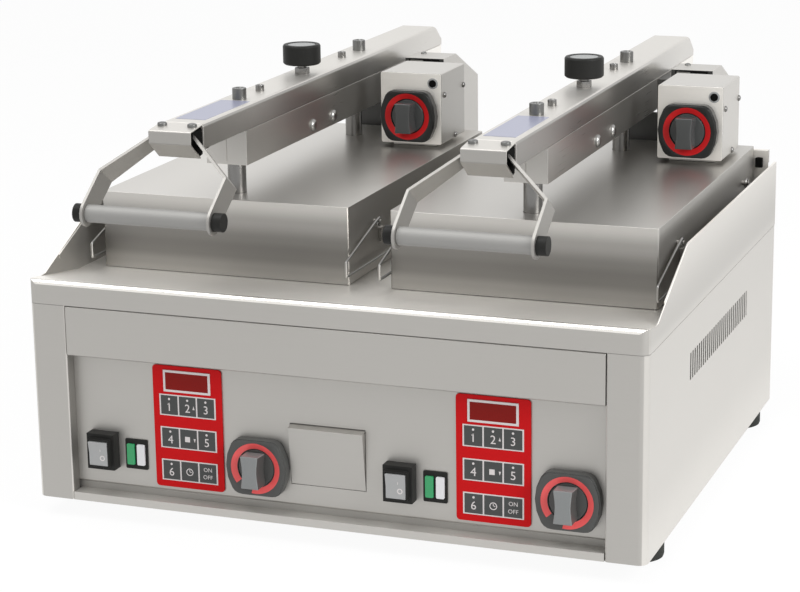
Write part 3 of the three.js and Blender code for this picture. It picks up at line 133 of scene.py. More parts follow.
class GrillStage(bpy.types.PropertyGroup):
    floor: colour("Floor", "Colour of the floor", (0.95, 0.95, 0.95))
    floor_radius: length("Floor radius", "Reach of the floor", 6.0, 30.0)
    floor_white: FloatProperty(
        name="Floor white", description="Share of plain white that the eye sees in the floor",
        default=0.93, min=0.0, max=1.0, subtype="FACTOR")
    world_light: FloatProperty(
        name="World light", description="Strength of the even light",
        default=0.62, min=0.0, max=3.0)
    key_power: power("Key light", "Power of the soft light on the right", 60.0)
    top_power: power("Top light", "Power of the soft light above", 30.0)
    camera_place: FloatVectorProperty(
        name="Camera place", description="Where the camera stands",
        default=(0.917, -2.58005, 0.9083), size=3, subtype="TRANSLATION", unit="LENGTH")
    camera_yaw: angle("Camera yaw", "Turn of the camera to the left", 20.61)
    camera_pitch: angle("Camera pitch", "Tilt of the camera downwards", 14.75)
    camera_roll: angle("Camera roll", "Roll of the camera", -0.82)
    camera_lens: FloatProperty(
        name="Lens", description="Focal length on a 36 mm wide sensor",
        default=106.6, min=10.0, max=300.0, unit="CAMERA")


def sizes():
    return bpy.context.scene.grill_sizes


def stage():
    return bpy.context.scene.grill_stage


# Finishes

# How often the grain repeats in a metre along X, Y and Z
GRAIN_X = (14, 1400, 1400)
GRAIN_Y = (1400, 14, 1400)
GRAIN_Z = (700, 700, 14)
FINE = (900, 900, 900)
POST_GRAIN = (260, 260, 9)
TUBE_GRAIN = (9, 700, 700)
SCREW_GRAIN = (700, 700, 700)
IRON_GRAIN = (300, 300, 300)
RUBBER_GRAIN = (600, 600, 600)
GRAIN_DETAIL = 3.0
GRAIN_ROUGHNESS = 0.6
CLOUD_SCALE = 7.0
CLOUD_DETAIL = 2.0
CLOUD_SHARE = 0.7
COAT_ROUGHNESS = 0.15
LEAST_ROUGHNESS = 0.02
BUMP_DEPTH = 0.0005

# Painted reflections and shade: an axis, and the share of the colour at places along it, which
# lightens and darkens the steel where the studio's reflections and shade fall
HOOD_FRONT_PAINTED_SHADING = ("Z", (
    (0.256, 0.53), (0.268, 0.44), (0.28, 0.31), (0.291, 0.295), (0.301, 0.34), (0.321, 0.56),
    (0.342, 0.95)))
HOOD_LEFT_PAINTED_SHADING = ("X", (
    (-0.333, 1.1), (-0.27, 1.14), (-0.17, 1.0), (-0.11, 0.66), (-0.02, 0.62)))
HOOD_RIGHT_PAINTED_SHADING = ("X", ((0.016, 0.85), (0.1, 0.95), (0.17, 0.85), (0.235, 0.56), (0.33, 0.66)))
BEAM_SIDE_PAINTED_SHADING = ("Y", (
    (-0.33, 0.62), (-0.2, 0.68), (-0.08, 0.58), (0.06, 0.64), (0.2, 1.0), (0.43, 1.2)))
CHANNEL_PAINTED_SHADING = ("Y", ((-0.22, 0.84), (-0.05, 0.78), (0.06, 0.86), (0.2, 1.3), (0.43, 1.7)))
SIDE_PAINTED_SHADING = ("Z", ((0.02, 1.24), (0.1, 1.1), (0.24, 1.06), (0.26, 0.93), (0.34, 0.66)))


def metal(shade, metallic, roughness, grain, colour="steel", **more):
    return {
        "colour": colour, "shade": shade, "metallic": metallic, "roughness": roughness,
        "grain": grain, **more}


def plastic(colour, roughness, **more):
    return {"colour": colour, "metallic": 0, "roughness": roughness, **more}


# The steel rows are lit and shaded copies of the one steel colour. Their first number and their
# fades are painted light and shade, which lighten or darken each group of faces as light and
# reflections fall on it. In the plastic rows that number sets the plastic's tone.
FINISHES = {
    "front steel": metal(0.8, 0.85, 0.44, GRAIN_X),
    "lip steel": metal(0.92, 0.85, 0.4, GRAIN_X),
    "shelf steel": metal(1.0, 0.6, 0.5, GRAIN_X),
    "sill steel": metal(0.66, 0.6, 0.5, GRAIN_X),
    "side steel": metal(1.0, 0.85, 0.44, GRAIN_Y, fade=SIDE_PAINTED_SHADING),
    "louvre steel": metal(0.05, 0.6, 0.6, FINE),
    "recess steel": metal(0.6, 0.85, 0.5, GRAIN_Z),
    "deck steel": metal(1.62, 0.85, 0.4, GRAIN_X),
    "nose edge steel": metal(1.55, 0.85, 0.25, GRAIN_X),
    "hood front steel": metal(1.0, 0.95, 0.32, GRAIN_X, fade=HOOD_FRONT_PAINTED_SHADING),
    "hood side steel": metal(0.8, 0.9, 0.4, GRAIN_Y),
    "left hood top steel": metal(1.0, 0.95, 0.34, GRAIN_X, fade=HOOD_LEFT_PAINTED_SHADING),
    "right hood top steel": metal(1.0, 0.95, 0.34, GRAIN_X, fade=HOOD_RIGHT_PAINTED_SHADING),
    "beam top steel": metal(1.2, 0.9, 0.42, GRAIN_Y),
    "beam side steel": metal(1.0, 0.92, 0.3, GRAIN_Y, fade=BEAM_SIDE_PAINTED_SHADING),
    "channel steel": metal(1.0, 0.92, 0.3, GRAIN_Y, fade=CHANNEL_PAINTED_SHADING),
    "cap steel": metal(0.68, 0.88, 0.42, GRAIN_X),
    "arm steel": metal(0.62, 0.85, 0.48, FINE),
    "box steel": metal(1.04, 0.9, 0.34, GRAIN_Y),
    "box front steel": metal(1.55, 0.8, 0.4, GRAIN_X),
    "left box side steel": metal(0.74, 0.9, 0.38, GRAIN_Y),
    "right box side steel": metal(1.04, 0.9, 0.38, GRAIN_Y),
    "tower steel": metal(0.98, 0.85, 0.4, GRAIN_Z),
    "dark tower steel": metal(0.35, 0.6, 0.4, FINE, "screw_steel"),
    "post steel": metal(1.0, 1.0, 0.25, POST_GRAIN, "post_steel", tint=0.05, bump=0.02),
    "bright steel": metal(1.0, 1.0, 0.3, TUBE_GRAIN, "bright_steel"),
    "grip steel": metal(1.0, 0.8, 0.66, TUBE_GRAIN, "bright_steel"),
    "wire steel": metal(1.0, 1.0, 0.3, FINE, "bright_steel"),
    "screw steel": metal(1.0, 0.9, 0.33, SCREW_GRAIN, "screw_steel", spread=0.08, tint=0.12),
    "seasoned iron": metal(1.0, 0.35, 0.55, IRON_GRAIN, "iron", spread=0.12, tint=0.3, bump=0.3),
    "keypad film": plastic("film", 0.5, tint=0.05, bump=0.03, specular=0.08),
    "display window": plastic("window", 0.35, tint=0.12, specular=0.1),
    "key plastic": plastic("key", 0.5, tint=0.06, bump=0.04, specular=0.2),
    "pale print": plastic("pale_print", 0.5, bump=0.01),
    "front ring print": plastic("front_ring", 0.45, bump=0.02),
    "lid ring print": plastic("box_ring", 0.4, bump=0.02, specular=0.2),
    "black plastic": plastic("black_plastic", 0.42, tint=0.15, bump=0.06, specular=0.12),
    "void black": plastic("black_plastic", 0.9, shade=0.3, tint=0.15, specular=0.05),
    "bezel plastic": plastic("bezel_plastic", 0.36, shade=0.8, tint=0.08, specular=0.3),
    "black bezel plastic": plastic("bezel_plastic", 0.22, shade=0.2, tint=0.1, specular=0.35),
    "knob plastic": plastic("knob_plastic", 0.3, tint=0.06, coat=0.2),
    "dark knob plastic": plastic("knob_plastic", 0.25, shade=0.3, tint=0.08, specular=0.5),
    "rocker plastic": plastic("rocker_plastic", 0.3, tint=0.05, coat=0.2),
    "green lens": plastic("green_lens", 0.2, tint=0.12, coat=0.4),
    "white lens": plastic("white_lens", 0.22, tint=0.05, coat=0.4),
    "label film": plastic("label", 0.35, tint=0.03, coat=0.2),
    "rubber": plastic(
        "rubber", 0.8, spread=0.08, tint=0.2, grain=RUBBER_GRAIN, bump=0.15, specular=0.2),
}


def node_of(tree, kind, inputs=None, **values):
    """A new shader node with its settings and the values of its sockets."""
    node = tree.nodes.new(kind)
    for key, value in values.items():
        setattr(node, key, value)
    for key, value in (inputs or {}).items():
        node.inputs[key].default_value = value
    return node


def faded(tree, place, tone, fade):
    """Paints reflections and shade by multiplying a colour by shares that stand at stated places
    along an axis of the piece.
    """
    axis, stops = fade
    low, high = stops[0][0], stops[-1][0]
    most = max(share for level, share in stops)
    split = node_of(tree, "ShaderNodeSeparateXYZ")
    reach = node_of(tree, "ShaderNodeMapRange", {"From Min": low, "From Max": high})
    ramp = node_of(tree, "ShaderNodeValToRGB")
    ramp.color_ramp.interpolation = "EASE"
    marks = ramp.color_ramp.elements
    for index, (level, share) in enumerate(stops):
        position = (level - low) / (high - low)
        mark = marks[0] if index == 0 else marks.new(position)
        mark.position = position
        mark.color = (share / most,) * 3 + (1,)
    marks.remove(marks[-1])
    product = node_of(
        tree, "ShaderNodeMix", {"Factor": 1.0}, data_type="RGBA", blend_type="MULTIPLY")
    link = tree.links.new
    link(place.outputs["Object"], split.inputs["Vector"])
    link(split.outputs[axis], reach.inputs["Value"])
    link(reach.outputs["Result"], ramp.inputs["Fac"])
    link(tone, product.inputs["A"])
    link(ramp.outputs["Color"], product.inputs["B"])
    return product.outputs["Result"]


def finish(name):
    """The named finish, made at its first use."""
    if name in bpy.data.materials:
        return bpy.data.materials[name]
    values = dict(FINISHES[name])
    base = Vector(getattr(bpy.context.scene.grill_colours, values.pop("colour")))
    return procedural(name, base * values.pop("shade", 1.0), **values)


def procedural(name, base, metallic, roughness, spread=0.05, tint=0.035, grain=FINE,
               bump=0.05, coat=0.0, specular=0.5, fade=None):
    """A finish whose colour, roughness and surface vary along a grain in the piece's space, with
    painted reflections and shade along an axis where they are given.
    """
    material = bpy.data.materials.new(name)
    material.use_nodes = True
    tree = material.node_tree
    shader = tree.nodes["Principled BSDF"]
    shader.inputs["Metallic"].default_value = metallic
    shader.inputs["Specular IOR Level"].default_value = specular
    shader.inputs["Coat Weight"].default_value = coat
    shader.inputs["Coat Roughness"].default_value = COAT_ROUGHNESS
    most = max(share for level, share in fade[1]) if fade else 1.0
    dark, pale = [
        (*[min(1, part * most * (1 + change)) for part in base], 1) for change in (-tint, tint)]
    place = node_of(tree, "ShaderNodeTexCoord")
    mapping = node_of(tree, "ShaderNodeMapping", {"Scale": grain})
    noise = node_of(tree, "ShaderNodeTexNoise", {
        "Scale": 1.0, "Detail": GRAIN_DETAIL, "Roughness": GRAIN_ROUGHNESS})
    cloud = node_of(tree, "ShaderNodeTexNoise", {"Scale": CLOUD_SCALE, "Detail": CLOUD_DETAIL})
    centred = node_of(
        tree, "ShaderNodeMath", {1: CLOUD_SHARE, 2: -CLOUD_SHARE / 2}, operation="MULTIPLY_ADD")
    blend = node_of(tree, "ShaderNodeMath", operation="ADD", use_clamp=True)
    mix = node_of(tree, "ShaderNodeMix", {"A": dark, "B": pale}, data_type="RGBA")
    rough = node_of(tree, "ShaderNodeMapRange", {
        "To Min": max(LEAST_ROUGHNESS, roughness - spread), "To Max": min(1.0, roughness + spread)})
    surface = node_of(tree, "ShaderNodeBump", {"Strength": bump, "Distance": BUMP_DEPTH})
    link = tree.links.new
    link(place.outputs["Object"], mapping.inputs["Vector"])
    link(mapping.outputs["Vector"], noise.inputs["Vector"])
    link(place.outputs["Object"], cloud.inputs["Vector"])
    link(cloud.outputs["Fac"], centred.inputs[0])
    link(noise.outputs["Fac"], blend.inputs[0])
    link(centred.outputs[0], blend.inputs[1])
    link(blend.outputs[0], mix.inputs["Factor"])
    link(blend.outputs[0], rough.inputs["Value"])
    tone = faded(tree, place, mix.outputs["Result"], fade) if fade else mix.outputs["Result"]
    link(tone, shader.inputs["Base Color"])
    link(rough.outputs["Result"], shader.inputs["Roughness"])
    link(noise.outputs["Fac"], surface.inputs["Height"])
    link(surface.outputs["Normal"], shader.inputs["Normal"])
    return material


# Working on pieces


def faces_up(face, least=FACING):
    return face.normal.z > least


def faces_front(face, least=FACING):
    return face.normal.y < -least


def faces_side(face, least=FACING):
    return abs(face.normal.x) > least


def deselect():
    if bpy.context.object and bpy.context.object.mode != "OBJECT":
        bpy.ops.object.mode_set(mode="OBJECT")
    bpy.ops.object.select_all(action="DESELECT")


def choose(piece):
    deselect()
    piece.select_set(True)
    bpy.context.view_layer.objects.active = piece


def named(name):
    piece = bpy.context.object
    piece.name = name
    piece.data.name = name
    return piece


def leave():
    bpy.ops.object.mode_set(mode="OBJECT")


def whole(piece):
    """Leaves the piece in edit mode with everything selected."""
    choose(piece)
    bpy.ops.object.mode_set(mode="EDIT")
    bpy.ops.mesh.select_all(action="SELECT")


def pick(piece, kind, items, test):
    """Leaves the piece in edit mode with only the items that pass the test selected."""
    choose(piece)
    bpy.ops.object.mode_set(mode="EDIT")
    bpy.ops.mesh.select_mode(type=kind)
    bpy.ops.mesh.select_all(action="DESELECT")
    leave()
    for item in getattr(piece.data, items):
        item.select = bool(test(item))
    bpy.ops.object.mode_set(mode="EDIT")


def pick_faces(piece, test):
    pick(piece, "FACE", "polygons", test)


def pick_points(piece, test):
    pick(piece, "VERT", "vertices", lambda point: test(point.co))


def copy_of(node, name, whole_faces=True):
    """A merged copy of a CAD solid, whose flat faces can be made whole."""
    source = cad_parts[node]
    piece = source.copy()
    piece.data = source.data.copy()
    piece.parent = None
    for key in list(piece.keys()):
        del piece[key]
    piece.data.materials.clear()
    bpy.context.scene.collection.objects.link(piece)
    whole(piece)
    bpy.ops.mesh.remove_doubles(threshold=TOLERANCE)
    if whole_faces:
        bpy.ops.mesh.dissolve_limited(angle_limit=FLAT_ANGLE)
    leave()
    return named(name)


def modified(piece, kind, **values):
    """Applies a modifier with the stated settings."""
    choose(piece)
    bpy.ops.object.modifier_add(type=kind)
    modifier = piece.modifiers[-1]
    for key, value in values.items():
        setattr(modifier, key, value)
    bpy.ops.object.modifier_apply(modifier=modifier.name)
    return piece


def bevelled(piece, width, segments=2):
    return modified(
        piece, "BEVEL", width=width, segments=segments, limit_method="ANGLE",
        angle_limit=BEVEL_ANGLE)


def smoothed(piece, angle=SMOOTH_ANGLE):
    """Smooths the rounded edges and leaves the flat faces flat."""
    choose(piece)
    bpy.ops.object.shade_smooth_by_angle(angle=angle)
    return modified(piece, "WEIGHTED_NORMAL", keep_sharp=True)


def placed(piece):
    choose(piece)
    bpy.ops.object.transform_apply(location=True, rotation=True, scale=True)
    return piece


def outward(piece):
    """Merges doubles and turns the faces outwards."""
    whole(piece)
    bpy.ops.mesh.remove_doubles(threshold=FINE_TOLERANCE)
    bpy.ops.mesh.normals_make_consistent(inside=False)
    leave()
    return piece


def coated(piece, *names):
    piece.data.materials.clear()
    for name in names:
        piece.data.materials.append(finish(name))
    return piece


def painted(piece, index, test):
    """Gives the faces that pass the test the piece's finish of that number."""
    for face in piece.data.polygons:
        if test(face):
            face.material_index = index
    return piece


def joined(name, pieces):
    deselect()
    for piece in pieces:
        piece.select_set(True)
    bpy.context.view_layer.objects.active = pieces[0]
    bpy.ops.object.join()
    return named(name)


def trimmed(piece, axis, level):
    """Takes off what stands past a level and closes the holes that it leaves."""
    index = AXES[axis]
    pick_faces(piece, lambda face: face.center[index] > level)
    bpy.ops.mesh.delete(type="FACE")
    bpy.ops.mesh.select_all(action="SELECT")
    bpy.ops.mesh.fill_holes(sides=0)
    bpy.ops.mesh.select_all(action="SELECT")
    bpy.ops.mesh.dissolve_limited(angle_limit=FLAT_ANGLE)
    leave()
    return piece


def block(name, low, high, edge=0.0001, segments=2):
    """A rounded block between two corners."""
    low, high = Vector(low), Vector(high)
    deselect()
    bpy.ops.mesh.primitive_cube_add(size=1, location=(low + high) / 2, scale=high - low)
    return smoothed(bevelled(placed(named(name)), edge, segments))


def turned(name, centre, axis, profile, faces=None, edge=0.0):
    """A piece turned round an axis from a list of (radius, distance along the axis)."""
    index = AXES[axis]
    along = Vector([1.0 if i == index else 0.0 for i in range(3)])
    turn = {"X": (0, QUARTER, 0), "Y": (-QUARTER, 0, 0), "Z": (0, 0, 0)}[axis]
    (radius, start), *rest = profile
    deselect()
    bpy.ops.mesh.primitive_circle_add(
        vertices=faces or sizes().round_faces, radius=radius, fill_type="NGON",
        location=Vector(centre) + along * start, rotation=turn)
    piece = placed(named(name))
    whole(piece)
    for next_radius, next_start in rest:
        share = next_radius / radius
        bpy.ops.mesh.extrude_region_move(
            TRANSFORM_OT_translate={"value": along * (next_start - start)})
        bpy.ops.transform.resize(value=[1 if i == index else share for i in range(3)])
        radius, start = next_radius, next_start
    leave()
    outward(piece)
    if edge:
        bevelled(piece, edge)
    return smoothed(piece)


def band(name, centre, inner, outer, thickness, drop=0.0, start=0.0, sweep=FULL_TURN, tilt=0.0,
         steps=96):
    """A thin band round the Y axis. Its inner edge lies deeper by the drop."""
    deselect()
    slope = math.atan2(drop, outer - inner)
    bpy.ops.mesh.primitive_plane_add(
        size=1, location=((inner + outer) / 2, drop / 2, 0), rotation=(0, 0, -slope))
    piece = named(name)
    piece.scale = (math.hypot(outer - inner, drop), thickness, 1)
    placed(piece)
    whole(piece)
    bpy.ops.mesh.delete(type="ONLY_FACE")
    bpy.ops.mesh.select_all(action="SELECT")
    bpy.ops.mesh.spin(steps=steps, angle=sweep, center=(0, 0, 0), axis=(0, -1, 0))
    bpy.ops.mesh.select_all(action="SELECT")
    bpy.ops.mesh.remove_doubles(threshold=FINE_TOLERANCE)
    if sweep < FULL_TURN:
        bpy.ops.mesh.select_all(action="SELECT")
        bpy.ops.mesh.fill_holes(sides=4)
    leave()
    piece.rotation_euler = (tilt, -start, 0)
    piece.location = centre
    placed(piece)
    return smoothed(outward(piece))


def lettering(name, text, height, centre, thickness=0.0002):
    """Raised figures of a stated height that face the front."""
    deselect()
    bpy.ops.object.text_add(location=(0, 0, 0))
    words = bpy.context.object
    words.data.body = text
    words.data.extrude = 0.5  # gives a depth of one, which the thickness scales
    words.data.align_x = "CENTER"
    words.data.resolution_u = 3
    bpy.ops.object.convert(target="MESH")
    piece = placed(named(name))
    points = [point.co for point in piece.data.vertices]
    low = Vector([min(point[i] for point in points) for i in range(3)])
    high = Vector([max(point[i] for point in points) for i in range(3)])
    share = height / (high.y - low.y)
    piece.location = -(low + high) / 2
    placed(piece)
    piece.scale = (share, share, thickness)
    placed(piece)
    piece.rotation_euler = (QUARTER, 0, 0)
    piece.location = centre
    return placed(piece)


def set_on(piece, body, slot, *nodes):
    """Fixes a piece to its body, in the place of the nodes that it replaces."""
    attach(piece, body)
    if nodes:
        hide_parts(*nodes)
    return piece


def skin(node, name, body, slot, edge, *finishes):
    """The CAD solid's shape with rounded edges and a finish, in the solid's place."""
    piece = copy_of(node, name)
    if edge:
        bevelled(piece, edge)
    smoothed(piece)
    return set_on(coated(piece, *finishes), body, slot, node)


DOME_SHARES = ((1.0, 0.18), (0.92, 0.5), (0.7, 0.8), (0.35, 0.97))
DOME_FOOT_SHARE = 0.98
DOME_SINK = 0.0003
DOME_FACES = 28
SOCKET_SINK = 0.0004
SOCKET_FACES = 48
SOCKET_EDGE_SHARE = 0.1
SOCKET_RIM_SHARE = 0.4
SOCKET_DEPTH_SHARE = 0.4


def dome_screw(name, centre, axis, radius, height, side=1):
    """A round-headed screw."""
    profile = [(radius * DOME_FOOT_SHARE, -side * DOME_SINK)]
    profile += [(radius * across, side * height * up) for across, up in DOME_SHARES]
    return turned(name, centre, axis, profile, DOME_FACES)


def socket_screw(name, x, y, z, radius, height):
    """A round screw head with a round socket."""
    head = turned(
        name, (x, y, z), "Z", [(radius, -SOCKET_SINK), (radius, height)], SOCKET_FACES,
        radius * SOCKET_EDGE_SHARE)
    pick_faces(head, lambda face: faces_up(face) and face.area > radius ** 2)
    bpy.ops.mesh.inset(thickness=radius * SOCKET_RIM_SHARE)
    bpy.ops.mesh.extrude_region_move(
        TRANSFORM_OT_translate={"value": (0, 0, -height * SOCKET_DEPTH_SHARE)})
    leave()
    return smoothed(head)


def middle_of(node):
    low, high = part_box(node)
    return (low + high) / 2


# Body

LIP_DEPTH = 0.0004
SHELF_REAR = -0.3
SHELF_BOTTOM, SHELF_TOP = 0.028, 0.033
# The thin sheet put in the dark gap under the control panel, which carries painted light
GAP_SHEET_SETBACK, GAP_SHEET_THICKNESS = 0.004, 0.001
GAP_SHEET_BOTTOM = 0.03
GAP_SHEET_LAP = 0.0006
GAP_SHEET_EDGE = 0.0002
RETURN_DEPTH = 0.02
RECESS_REACH = 0.315
LOUVRE_FRONT, LOUVRE_REAR = -0.21, 0.11
LOUVRE_TILT = 0.5
NOSE_DEPTH = 0.03
NOSE_TILT = 0.2
BACKSPLASH_DEPTH = 0.02
GUARD_WALL = 0.001


class GRILL_OT_body(bpy.types.Operator):
    """Finishes the body's sheets"""

    bl_idname = "grill.body"
    bl_label = "Body"

    def execute(self, context):
        edge = sizes().sheet_edge
        pan = skin(
            "base_pan", "base_pan_sheet", "body", "brushed_steel", edge,
            "front steel", "lip steel", "shelf steel")
        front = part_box("base_pan")[0].y
        # The lip gets a lighter copy of the front steel, and the shelf under the control panel is
        # painted light where shade falls.
        painted(pan, 1, lambda face: face.center.y < front + LIP_DEPTH)
        painted(pan, 2, lambda face: (
            faces_up(face) and face.center.y < SHELF_REAR
            and SHELF_BOTTOM < face.center.z < SHELF_TOP))
        # A thin sheet in the dark gap under the control panel, painted light, so that the gap shows
        # as a lit strip.
        low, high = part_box("control_panel")
        gap_sheet_front = low.y + GAP_SHEET_SETBACK
        gap_sheet = block(
            "panel_sill", (low.x, gap_sheet_front, GAP_SHEET_BOTTOM),
            (high.x, gap_sheet_front + GAP_SHEET_THICKNESS, low.z + GAP_SHEET_LAP), GAP_SHEET_EDGE)
        set_on(coated(gap_sheet, "sill steel"), "body", "brushed_steel")
        for node in ("rear_panel", "header_panel"):
            skin(node, node + "_sheet", "body", "brushed_steel", edge, "front steel")
        panel = copy_of("control_panel", "control_panel_sheet", False)
        smoothed(bevelled(panel, edge))
        set_on(coated(panel, "front steel"), "body", "brushed_steel", "control_panel")
        for side in SIDES:
            self.side_panel(side + "_side_panel", front + RETURN_DEPTH)
        self.worktop(edge)
        return {"FINISHED"}

    def side_panel(self, node, return_rear):
        panel = skin(
            node, node + "_sheet", "body", "brushed_steel", 0.0,
            "side steel", "front steel", "louvre steel", "recess steel")
        # Painted shade: the louvres' slanted faces are near black, as the slots are in shade, and
        # the walls of the front recess are darker where shade falls; the front returns get the
        # front copy of the steel.
        painted(panel, 2, lambda face: (
            LOUVRE_FRONT < face.center.y < LOUVRE_REAR
            and faces_side(face, LOUVRE_TILT) and abs(face.normal.x) < FACING))
        painted(panel, 3, lambda face: (
            face.center.y < return_rear and abs(face.center.x) < RECESS_REACH
            and faces_side(face)))
        painted(panel, 1, lambda face: abs(face.normal.y) > FACING and face.center.y < return_rear)

    def worktop(self, edge):
        top = skin(
            "worktop", "worktop_sheet", "body", "brushed_steel", edge,
            "front steel", "deck steel", "side steel", "nose edge steel")
        low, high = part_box("worktop")
        # Painted light: the deck's tops and the backsplash get a lighter copy of the steel, the
        # outer side walls get the side steel with its painted reflections and shade, and the
        # rounded nose edge gets a painted highlight.
        painted(top, 1, lambda face: (
            (faces_up(face) and face.center.y > low.y + NOSE_DEPTH)
            or (faces_front(face) and face.center.y > high.y - BACKSPLASH_DEPTH)))
        painted(top, 2, lambda face: (
            faces_side(face) and abs(face.center.x) > high.x - GUARD_WALL))
        painted(top, 3, lambda face: (
            face.center.y < low.y + RETURN_DEPTH and faces_up(face, NOSE_TILT)
            and faces_front(face, NOSE_TILT)))


PANEL_SCREW = (0.004, 0.0024)
PANEL_SCREW_INSET = 0.012
PANEL_SCREW_X = 0.11
BRACKET_LEFT, BRACKET_RIGHT = 0.326, 0.3345
BRACKET_FRONT, BRACKET_REAR_GAP = 0.23, 0.0012
BRACKET_BOTTOM, BRACKET_TOP = 0.317, 0.329
BRACKET_EDGE = 0.0006
BRACKET_TAPER = (0.6, 1, 1)


class GRILL_OT_body_screws(bpy.types.Operator):
    """Turns the screws that hold the rear panel and the bracket behind the right lid"""

    bl_idname = "grill.body_screws"
    bl_label = "Body screws"

    def execute(self, context):
        low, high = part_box("rear_panel")
        heads = [
            dome_screw("head", (x, high.y, z), "Y", *PANEL_SCREW)
            for x in (
                low.x + PANEL_SCREW_INSET, -PANEL_SCREW_X, PANEL_SCREW_X,
                high.x - PANEL_SCREW_INSET)
            for z in (low.z + PANEL_SCREW_INSET, high.z - PANEL_SCREW_INSET)]
        screws = coated(joined("rear_panel_screws", heads), "post steel")
        set_on(screws, "body", "polished_steel")
        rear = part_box("worktop")[1].y - BRACKET_REAR_GAP
        bracket = block(
            "splash_bracket", (BRACKET_LEFT, BRACKET_FRONT, BRACKET_BOTTOM),
            (BRACKET_RIGHT, rear, BRACKET_TOP), BRACKET_EDGE)
        pick_faces(bracket, faces_up)
        bpy.ops.transform.resize(value=BRACKET_TAPER)
        leave()
        set_on(coated(bracket, "void black"), "body", "black_plastic")
        return {"FINISHED"}


# How far the pad's outline stays inside the foot's radius, and its height there
PAD_PROFILE = (
    (0.0045, 0.0), (0.0032, 0.0), (0.0009, 0.0012), (0.0, 0.0038), (0.0, 0.0195),
    (0.0015, 0.0208))
PAD_FACES = 72
STUD_PROFILE = ((0.0046, 0.02), (0.0046, 0.0321), (0.0039, 0.0329))
STUD_FACES = 24


class GRILL_OT_feet(bpy.types.Operator):
    """Turns the rubber feet and their studs"""

    bl_idname = "grill.feet"
    bl_label = "Feet"

    def execute(self, context):
        radius = sizes().foot_radius
        profile = [(radius - inset, height) for inset, height in PAD_PROFILE]
        for place in ("front_left", "front_right", "rear_left", "rear_right"):
            node = "foot_" + place
            middle = middle_of(node)
            centre = (middle.x, middle.y, 0)
            foot = coated(turned(node + "_rubber", centre, "Z", profile, PAD_FACES), "rubber")
            stud = coated(
                turned(node + "_stud", centre, "Z", STUD_PROFILE, STUD_FACES), "post steel")
            set_on(joined(node + "_rubber", [foot, stud]), "body", "black_rubber", node)
        return {"FINISHED"}


class GRILL_OT_gland(bpy.types.Operator):
    """Finishes the cable gland"""

    bl_idname = "grill.gland"
    bl_label = "Cable gland"

    def execute(self, context):
        skin("cable_gland", "cable_gland_body", "body", "black_plastic", 0.0005, "black plastic")
        return {"FINISHED"}


class GRILL_OT_drawer(bpy.types.Operator):
    """Finishes the drip drawer"""

    bl_idname = "grill.drawer"
    bl_label = "Drip drawer"

    def execute(self, context):
        skin(
            "drip_drawer", "drip_drawer_sheet", "drawer", "brushed_steel", sizes().sheet_edge,
            "front steel")
        return {"FINISHED"}


# Cooking plates, hoods and beams

PLATE_EDGE = 0.0008
HOOD_TILT = 0.8


class GRILL_OT_plates(bpy.types.Operator):
    """Finishes the lower and upper cooking plates"""

    bl_idname = "grill.plates"
    bl_label = "Cooking plates"

    def execute(self, context):
        for side in SIDES:
            for node, body in ((side + "_griddle", "body"), (side + "_upper_plate", side + "_lid")):
                skin(node, node + "_iron", body, "cast_iron", PLATE_EDGE, "seasoned iron")
        return {"FINISHED"}


class GRILL_OT_hoods(bpy.types.Operator):
    """Finishes the hoods"""

    bl_idname = "grill.hoods"
    bl_label = "Hoods"

    def execute(self, context):
        for side in SIDES:
            hood = skin(
                side + "_hood", side + "_hood_shell", side + "_lid", "brushed_steel",
                sizes().hood_edge, "hood front steel", side + " hood top steel", "hood side steel")
            # Painted reflections and shade: the front, each top and the sides get their own lit and
            # shaded copies of the steel, the front and the tops with fades.
            painted(hood, 1, lambda face: faces_up(face, HOOD_TILT))
            painted(hood, 2, lambda face: faces_side(face, HOOD_TILT))
        return {"FINISHED"}


BEAM_TOP = 0.4473
BEAM_TRIM = 0.0001
BEAM_SIDE_TILT = 0.75
BIG_SCREWS = (-0.18105, 0.18745)
BIG_SCREW = (0.008, 0.013)
SMALL_SCREWS = (-0.12405, 0.12895)
SMALL_SCREW = (0.005, 0.007)
THUMB_Y = 0.00175
NUT_PROFILE = ((0.009, -0.0004), (0.009, 0.0075))
NUT_FACES = 6
NUT_EDGE = 0.0006
LABEL_FRONT, LABEL_REAR = -0.3101, -0.1921
LABEL_HALF = 0.0175
LABEL_SINK, LABEL_STAND = 0.0002, 0.0003


class GRILL_OT_beams(bpy.types.Operator):
    """Finishes the beams with their labels and screws"""

    bl_idname = "grill.beams"
    bl_label = "Beams"

    def execute(self, context):
        kinds = (
            (BIG_SCREWS, BIG_SCREW, "screw steel"), (SMALL_SCREWS, SMALL_SCREW, "post steel"))
        for side in SIDES:
            lid, node = side + "_lid", side + "_beam"
            x = middle_of(node).x
            beam = trimmed(copy_of(node, node + "_shell"), "Z", BEAM_TOP + BEAM_TRIM)
            smoothed(bevelled(beam, sizes().sheet_edge))
            coated(beam, "beam top steel", "beam side steel")
            # Painted light and shade: the top gets a lighter copy of the steel, and the sides a
            # copy with painted reflections and shade along their length.
            painted(beam, 1, lambda face: faces_side(face, BEAM_SIDE_TILT))
            set_on(beam, lid, "brushed_steel", node)
            screws = [
                coated(socket_screw("screw", x, y, BEAM_TOP, *size), steel)
                for places, size, steel in kinds for y in places]
            nut = turned("nut", (x, THUMB_Y, BEAM_TOP), "Z", NUT_PROFILE, NUT_FACES, NUT_EDGE)
            screws.append(coated(nut, "post steel"))
            set_on(joined(node + "_screws", screws), lid, "dark_steel")
            label = block(
                node + "_label", (x - LABEL_HALF, LABEL_FRONT, BEAM_TOP - LABEL_SINK),
                (x + LABEL_HALF, LABEL_REAR, BEAM_TOP + LABEL_STAND))
            set_on(coated(label, "label film"), lid, "polished_steel")
        return {"FINISHED"}


